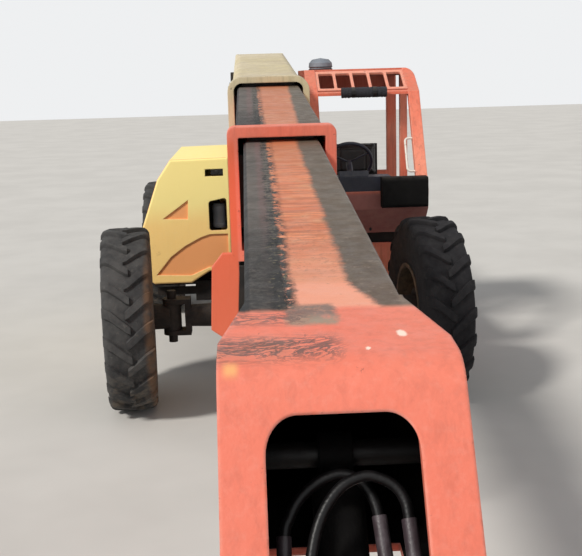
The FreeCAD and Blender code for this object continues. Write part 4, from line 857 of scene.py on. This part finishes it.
# Rolled shade over the cab's front opening: a wound sheet, strapped and creased
ROLL_Y, ROLL_Z, STRAP_XS = 950.0, 2205.0, (655.0, 825.0)
roll_form = Form()
rings = []
creases = [(rng.uniform(0, 2 * pi), rng.uniform(9, 30), rng.uniform(0.0004, 0.0011)) for _ in range(9)]
around, lengths = 72, 72
for k in range(lengths + 1):
    x = 560.0 + 360.0 * k / lengths
    pinch = sum(0.0045 * exp(-((x - at) / 16) ** 2) for at in STRAP_XS)
    ring = []
    for n in range(around):
        a = 2 * pi * n / around
        radius = 0.0435 - 0.0042 * n / around - pinch
        for phase, pitch, size in creases:
            radius += size * sin(phase + pitch * x / 100 + 2.3 * a + sin(a + phase)) * (0.4 + 0.6 * abs(sin(a / 2)))
        ring.append(P(x, ROLL_Y, ROLL_Z) + Vector((0, cos(a + 2.4), sin(a + 2.4))) * min(radius, 0.0446))
    rings.append(ring)


def closed_end(edge, outward):
    # stepped in and out where the sheet winds round
    centre = sum(edge, Vector()) / len(edge)
    return [[centre + (p - centre) * (1 - turn / 8.5) + X_WAY * (outward * (0.0030 if turn % 2 else 0.0008))
             for p in edge] for turn in range(1, 8)]


first = closed_end(rings[0], 1)
last = closed_end(rings[-1], -1)
roll_form.rings(list(reversed(first)) + rings + last)
obj = roll_form.piece("rolled_sheet", roll, "chassis", "roll_cloth", sharp=60)
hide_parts("shade_roll")
straps = Form()
for x in STRAP_XS:
    rings = []
    for part in (-14, 14):
        centre = P(x + part, ROLL_Y, ROLL_Z)
        rings.append([circle(centre, Y_WAY, Z_WAY, radius, 40) for radius in (0.0425, 0.0375)])
    straps.rings([rings[0][0], rings[1][0], rings[1][1], rings[0][1]], loop=True)
    straps.box(P(x - 18, ROLL_Y - 46.0, ROLL_Z - 12), P(x + 18, ROLL_Y - 38, ROLL_Z + 12))
obj = straps.piece("roll_straps", black, "chassis", "black_plastic", bevel=0.001)
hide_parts("shade_roll")
hangers = Form()
for x in (600.0, 850.0):
    hangers.box(P(x, ROLL_Y + 34, ROLL_Z - 12), P(x + 30, 1009.6, ROLL_Z + 4))
obj = hangers.piece("roll_hangers", dark_frame, "chassis", "chassis_dark", bevel=0.002)
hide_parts("shade_roll")

# Bolts, keepers and small fittings
UP_BOOM = (B(0, 0, 1000) - B(0, 0, 0)).normalized()


def pad_bolts(name, body, half, top, s, side_ts, top_xs):
    form = Form()
    for side in (-1, 1):
        for t in side_ts:
            form.bolt(B(side * half, s, t), X_WAY * side, 0.030, 0.016)
    for x in top_xs:
        form.bolt(B(x, s, top), UP_BOOM, 0.030, 0.014)
    form.piece(name, worn_steel, body, "cast_dark")


pad_bolts("base_pad_bolts", "base_boom", 230.0, 413.5, 4260.0, (300.0, -50.0), (-120.0, 120.0))
pad_bolts("mid_pad_bolts", "mid_boom", 195.0, 375.5, 6465.0, (280.0, -30.0), (-110.0, 110.0))

keepers = Form()
for side in (-1, 1):
    face, out = B(side * 311, 0, 0), X_WAY * side
    keepers.rod(face - out * 0.003, face + out * 0.006, 0.030, 24)
    keepers.rod(face, face + out * 0.018, 0.005, 10, 0.0035)
    for s in (-20, 20):
        keepers.bolt(B(side * 311, s, 0) + out * 0.006, out, 0.014, 0.007, False)
keepers.piece("pivot_pin_ends", worn_steel, "chassis", "cast_dark")
keepers = Form()
for side in (-1, 1):
    out = X_WAY * side
    keepers.prism([B(side * 208.5, PIN_S + s, PIN_T + t) for s, t in ((-74, -34), (-30, -34), (-30, 34), (-74, 34))],
                  out * 0.009)
    for t in (-22, 22):
        keepers.bolt(B(side * 217.5, PIN_S - 56, PIN_T + t), out, 0.018, 0.009, False)
    nipple = B(side * 222, PIN_S, PIN_T)
    keepers.rod(nipple, nipple + out * 0.012, 0.005, 10, 0.0035)
keepers.piece("head_pin_keepers", worn_steel, "fly_boom", "cast_dark", bevel=0.001)


def ports(name, body, foot, eye, barrel_radius, eye_radius, spread, out_way):
    # oil ports and a hard pipe along each barrel
    form = Form()
    way = (eye - foot).normalized()
    side = (out_way - way * out_way.dot(way)).normalized()
    start, end = eye_radius + 0.012, (eye - foot).length - eye_radius * 1.9
    for shift in spread:
        near, far = [foot + X_WAY * shift + way * (start + (end - start) * share) for share in (0.14, 0.93)]
        for at in (near, far):
            form.rod(at + side * (barrel_radius - 0.004), at + side * (barrel_radius + 0.014), 0.016, 16)
            form.rod(at + side * (barrel_radius + 0.012), at + side * (barrel_radius + 0.024), 0.012, 6)
        pipe_lift = side * (barrel_radius + 0.018)
        form.rod(near + pipe_lift, far + pipe_lift, 0.006, 10)
    form.piece(name, worn_steel, body, "cast_dark")


ports("lift_ports", "lift_barrels", P(BOOM_X, 2400, 850), B(0, 700, -330), 0.068, 0.058, (-0.13, 0.13), -Y_WAY)
ports("level_ports", "level_barrel", P(BOOM_X, 3000, 1300), B(0, 260, -300), 0.042, 0.036, (0,), Y_WAY)

# engine bay seen through the hood's intake: a canister and pulleys
bay = Form()
bay.rod(P(-450, 985, 1160), P(-450, 985, 1330), 0.052, 28)
bay.rod(P(-450, 985, 1330), P(-450, 985, 1352), 0.056, 28, 0.040)
bay.rod(P(-450, 985, 1176), P(-450, 985, 1192), 0.0545, 28)
bay.box(P(-500, 1020, 1200), P(-474, 1061, 1300))
bay.piece("bay_canister", grey, "chassis", "grey_plastic")
pulley = Form()
for x, z, radius in ((-640, 1180, 0.085), (-720, 1010, 0.105), (-580, 980, 0.060)):
    for y0, y1, r0, r1 in ((1060.6, 1040, 1.0, 1.0), (1040, 1030, 1.0, 0.86), (1030, 1020, 0.86, 1.0),
                           (1020, 1010, 1.0, 0.3)):
        pulley.rod(P(x, y0 + 1, z), P(x, y1, z), radius * r0, 28, radius * r1)
pulley.piece("fan_pulleys", castings, "chassis", "cast_dark")

# hood catch set in its handle slot
catch = Form()
catch.box(P(-500, 850, 1596), P(-400, 862, 1641))
catch.rod(P(-450, 850, 1619), P(-450, 846.5, 1619), 0.014, 20)
catch.piece("hood_catch", black, "hood", "black_plastic", bevel=0.002)

# dash: gauge hood with dials; pedals on the floor
cluster = Form()
cluster.prism([P(500, 600, 1566), P(500, 700, 1566), P(500, 716, 1600), P(500, 640, 1612)], X_WAY * 0.23)
cluster.piece("gauge_hood", slate, "chassis", "black_plastic", bevel=0.006)
dials = Form()
face_low, face_high = Vector((0, 700, 1566)), Vector((0, 716, 1600))
face_way = (face_high - face_low).cross(X_WAY).normalized()
for x in (548, 615, 682):
    at = (P(x, face_low.y, face_low.z) + P(x, face_high.y, face_high.z)) / 2
    dials.rod(at, at + face_way * 0.004, 0.014, 24)
dials.piece("dial_rings", grey, "chassis", "grey_plastic")
pedals = Form()
for x, wide in ((560, 0.035), (680, 0.030), (760, 0.030)):
    foot, top = P(x, 790, 1117), P(x, 830, 1190)
    pedals.rod(foot, top, 0.009, 12)
    pedals.prism([top + Vector((x, end * 0.030, end * 0.022)) for x, end in
                  ((-wide, -1), (wide, -1), (wide, 1), (-wide, 1))], Vector((0, -0.005, 0.007)))
pedals.piece("foot_pedals", black, "chassis", "black_plastic", bevel=0.001)

# tank: filler cap and two straps round it
straps = Form()
for y in (1090.0, 2070.0):
    outer, inner = [], []
    for grow, line in ((3.5, outer), (-1.0, inner)):
        line.append(P(360, y, 989.7 + grow))
        for z, first_angle in ((939.7, 90), (570, 0)):
            for step in range(7):
                a = radians(first_angle - 15 * step)
                line.append(P(930 + (50 + grow) * cos(a), y, z + (50 + grow) * sin(a)))
        line.append(P(360, y, 520 - grow))
    count = len(outer)
    wide = Y_WAY * 0.050
    points = outer + [p + wide for p in outer] + [p + wide for p in inner] + inner
    faces = []
    for i in range(count - 1):
        for a, b in ((0, 1), (1, 2), (2, 3), (3, 0)):
            faces.append((a * count + i, a * count + i + 1, b * count + i + 1, b * count + i))
    faces += [(0, count, 2 * count, 3 * count), (count - 1, 2 * count - 1, 3 * count - 1, 4 * count - 1)]
    straps.add(points, faces)
straps.piece("tank_straps", dark_frame, "chassis", "chassis_dark")
cap = Form()
cap_at, cap_way = P(978, 1900, 860), Vector((1, 0, 0.35)).normalized()
cap.rod(cap_at - cap_way * 0.012, cap_at + cap_way * 0.022, 0.034, 28)
cap.rod(cap_at + cap_way * 0.020, cap_at + cap_way * 0.044, 0.044, 20, 0.041)
cap.piece("tank_cap", black, "chassis", "black_plastic", bevel=0.002)

# steps: raised studs on both treads
studs = Form()
for z in (442, 672):
    for i in range(12):
        for x in (1040, 1080, 1120):
            at = P(x, 1262 + i * 38.5 + (12 if x == 1080 else 0), z)
            studs.rod(at - Z_WAY * 0.001, at + Z_WAY * 0.003, 0.008, 10, 0.006)
studs.piece("step_studs", dark_frame, "chassis", "chassis_dark")

# counterweight: bolts, and frames round the tail lamps
tail = Form()
for side in (-1, 1):
    for x, z in ((640, 720), (640, 1050), (250, 720), (250, 1380)):
        tail.bolt(P(side * x, 4300.2, z), Y_WAY, 0.036, 0.018)
tail.piece("counterweight_bolts", worn_steel, "chassis", "cast_dark")
frames = Form()
x0, x1, z0, z1, bar = 880 - 66, 880 + 66, 1009, 1111, 10
for side in (-1, 1):
    for a, b, low_z, high_z in ((x0, x1, z1 - bar, z1), (x0, x1, z0, z0 + bar), (x0, x0 + bar, z0 + bar, z1 - bar),
                                (x1 - bar, x1, z0 + bar, z1 - bar)):
        low_x, high_x = sorted((side * a, side * b))
        frames.box(P(low_x, 4299.5, low_z), P(high_x, 4317, high_z))
frames.piece("lamp_frames", black, "chassis", "black_plastic", bevel=0.001)

# forks: a locking pin on each hook
locks = Form()
for side in (-1, 1):
    at = P(BOOM_X + side * 340, -6283, 1366)
    locks.rod(at - Z_WAY * 0.004, at + Z_WAY * 0.030, 0.011, 16)
    locks.rod(at + Z_WAY * 0.024 - X_WAY * 0.032, at + Z_WAY * 0.024 + X_WAY * 0.032, 0.006, 12)
locks.piece("fork_locks", worn_steel, "fork_head", "fork_black")

# beacon: rubber foot and a seam round the lens
ring = Form()
for height, reach, thick in ((2.0, 96.5, 5.0), (22.0, 99.0, 2.5)):
    rings = []
    for n in range(48):
        a = 2 * pi * n / 48
        centre = P(438 + reach * cos(a), 1500 + reach * sin(a), 2392.3 + height)
        rings.append(circle(centre, Vector((cos(a), sin(a), 0)), Z_WAY, thick / 1000, 8))
    ring.rings(rings, loop=True)
ring.piece("beacon_rings", black, "chassis", "black_plastic")


# Floor and light
def floor():
    mesh = bpy.data.meshes.new("floor")
    half = 60
    mesh.from_pydata([(-half, -half, 0), (half, -half, 0), (half, half, 0), (-half, half, 0)], [], [(0, 1, 2, 3)])
    f = Finish("pale_floor")
    f.base = f.mix(f.spots(0.3, 0.7, 0.8, 3), (196, 193, 188), (204, 201, 196))
    f.rough = 0.9
    mesh.materials.append(f.finish())
    obj = placed("floor", mesh)


floor()
world = bpy.data.worlds.new("soft_sky")
world.use_nodes = True
tree = world.node_tree
tree.nodes.clear()


def background(tint, strength):
    node = tree.nodes.new("ShaderNodeBackground")
    node.inputs[0].default_value = tint
    node.inputs[1].default_value = strength
    return node.outputs[0]


# the object is lit by one sky; the camera and reflections see a paler one
path = tree.nodes.new("ShaderNodeLightPath")
either = tree.nodes.new("ShaderNodeMath")
either.operation = "MAXIMUM"
choose = tree.nodes.new("ShaderNodeMixShader")
out = tree.nodes.new("ShaderNodeOutputWorld")
lit, seen = background((0.93, 0.96, 1.0, 1), 0.45), background((0.86, 0.87, 0.88, 1), 1.0)
for source, target in (
        (path.outputs["Is Camera Ray"], either.inputs[0]), (path.outputs["Is Glossy Ray"], either.inputs[1]),
        (either.outputs[0], choose.inputs[0]), (lit, choose.inputs[1]), (seen, choose.inputs[2]),
        (choose.outputs[0], out.inputs[0])):
    tree.links.new(source, target)
bpy.context.scene.world = world

# the main light comes from the left and above, from behind the camera
sun = bpy.data.lights.new("key", "SUN")
sun.energy = 2.9
sun.angle = radians(9)
sun.color = (1.0, 0.97, 0.92)
key = placed("key", sun)
key.rotation_euler = Vector((-1.0, -0.85, 1.2)).to_track_quat("Z", "Y").to_euler()

bpy.context.scene.view_settings.view_transform = "Standard"
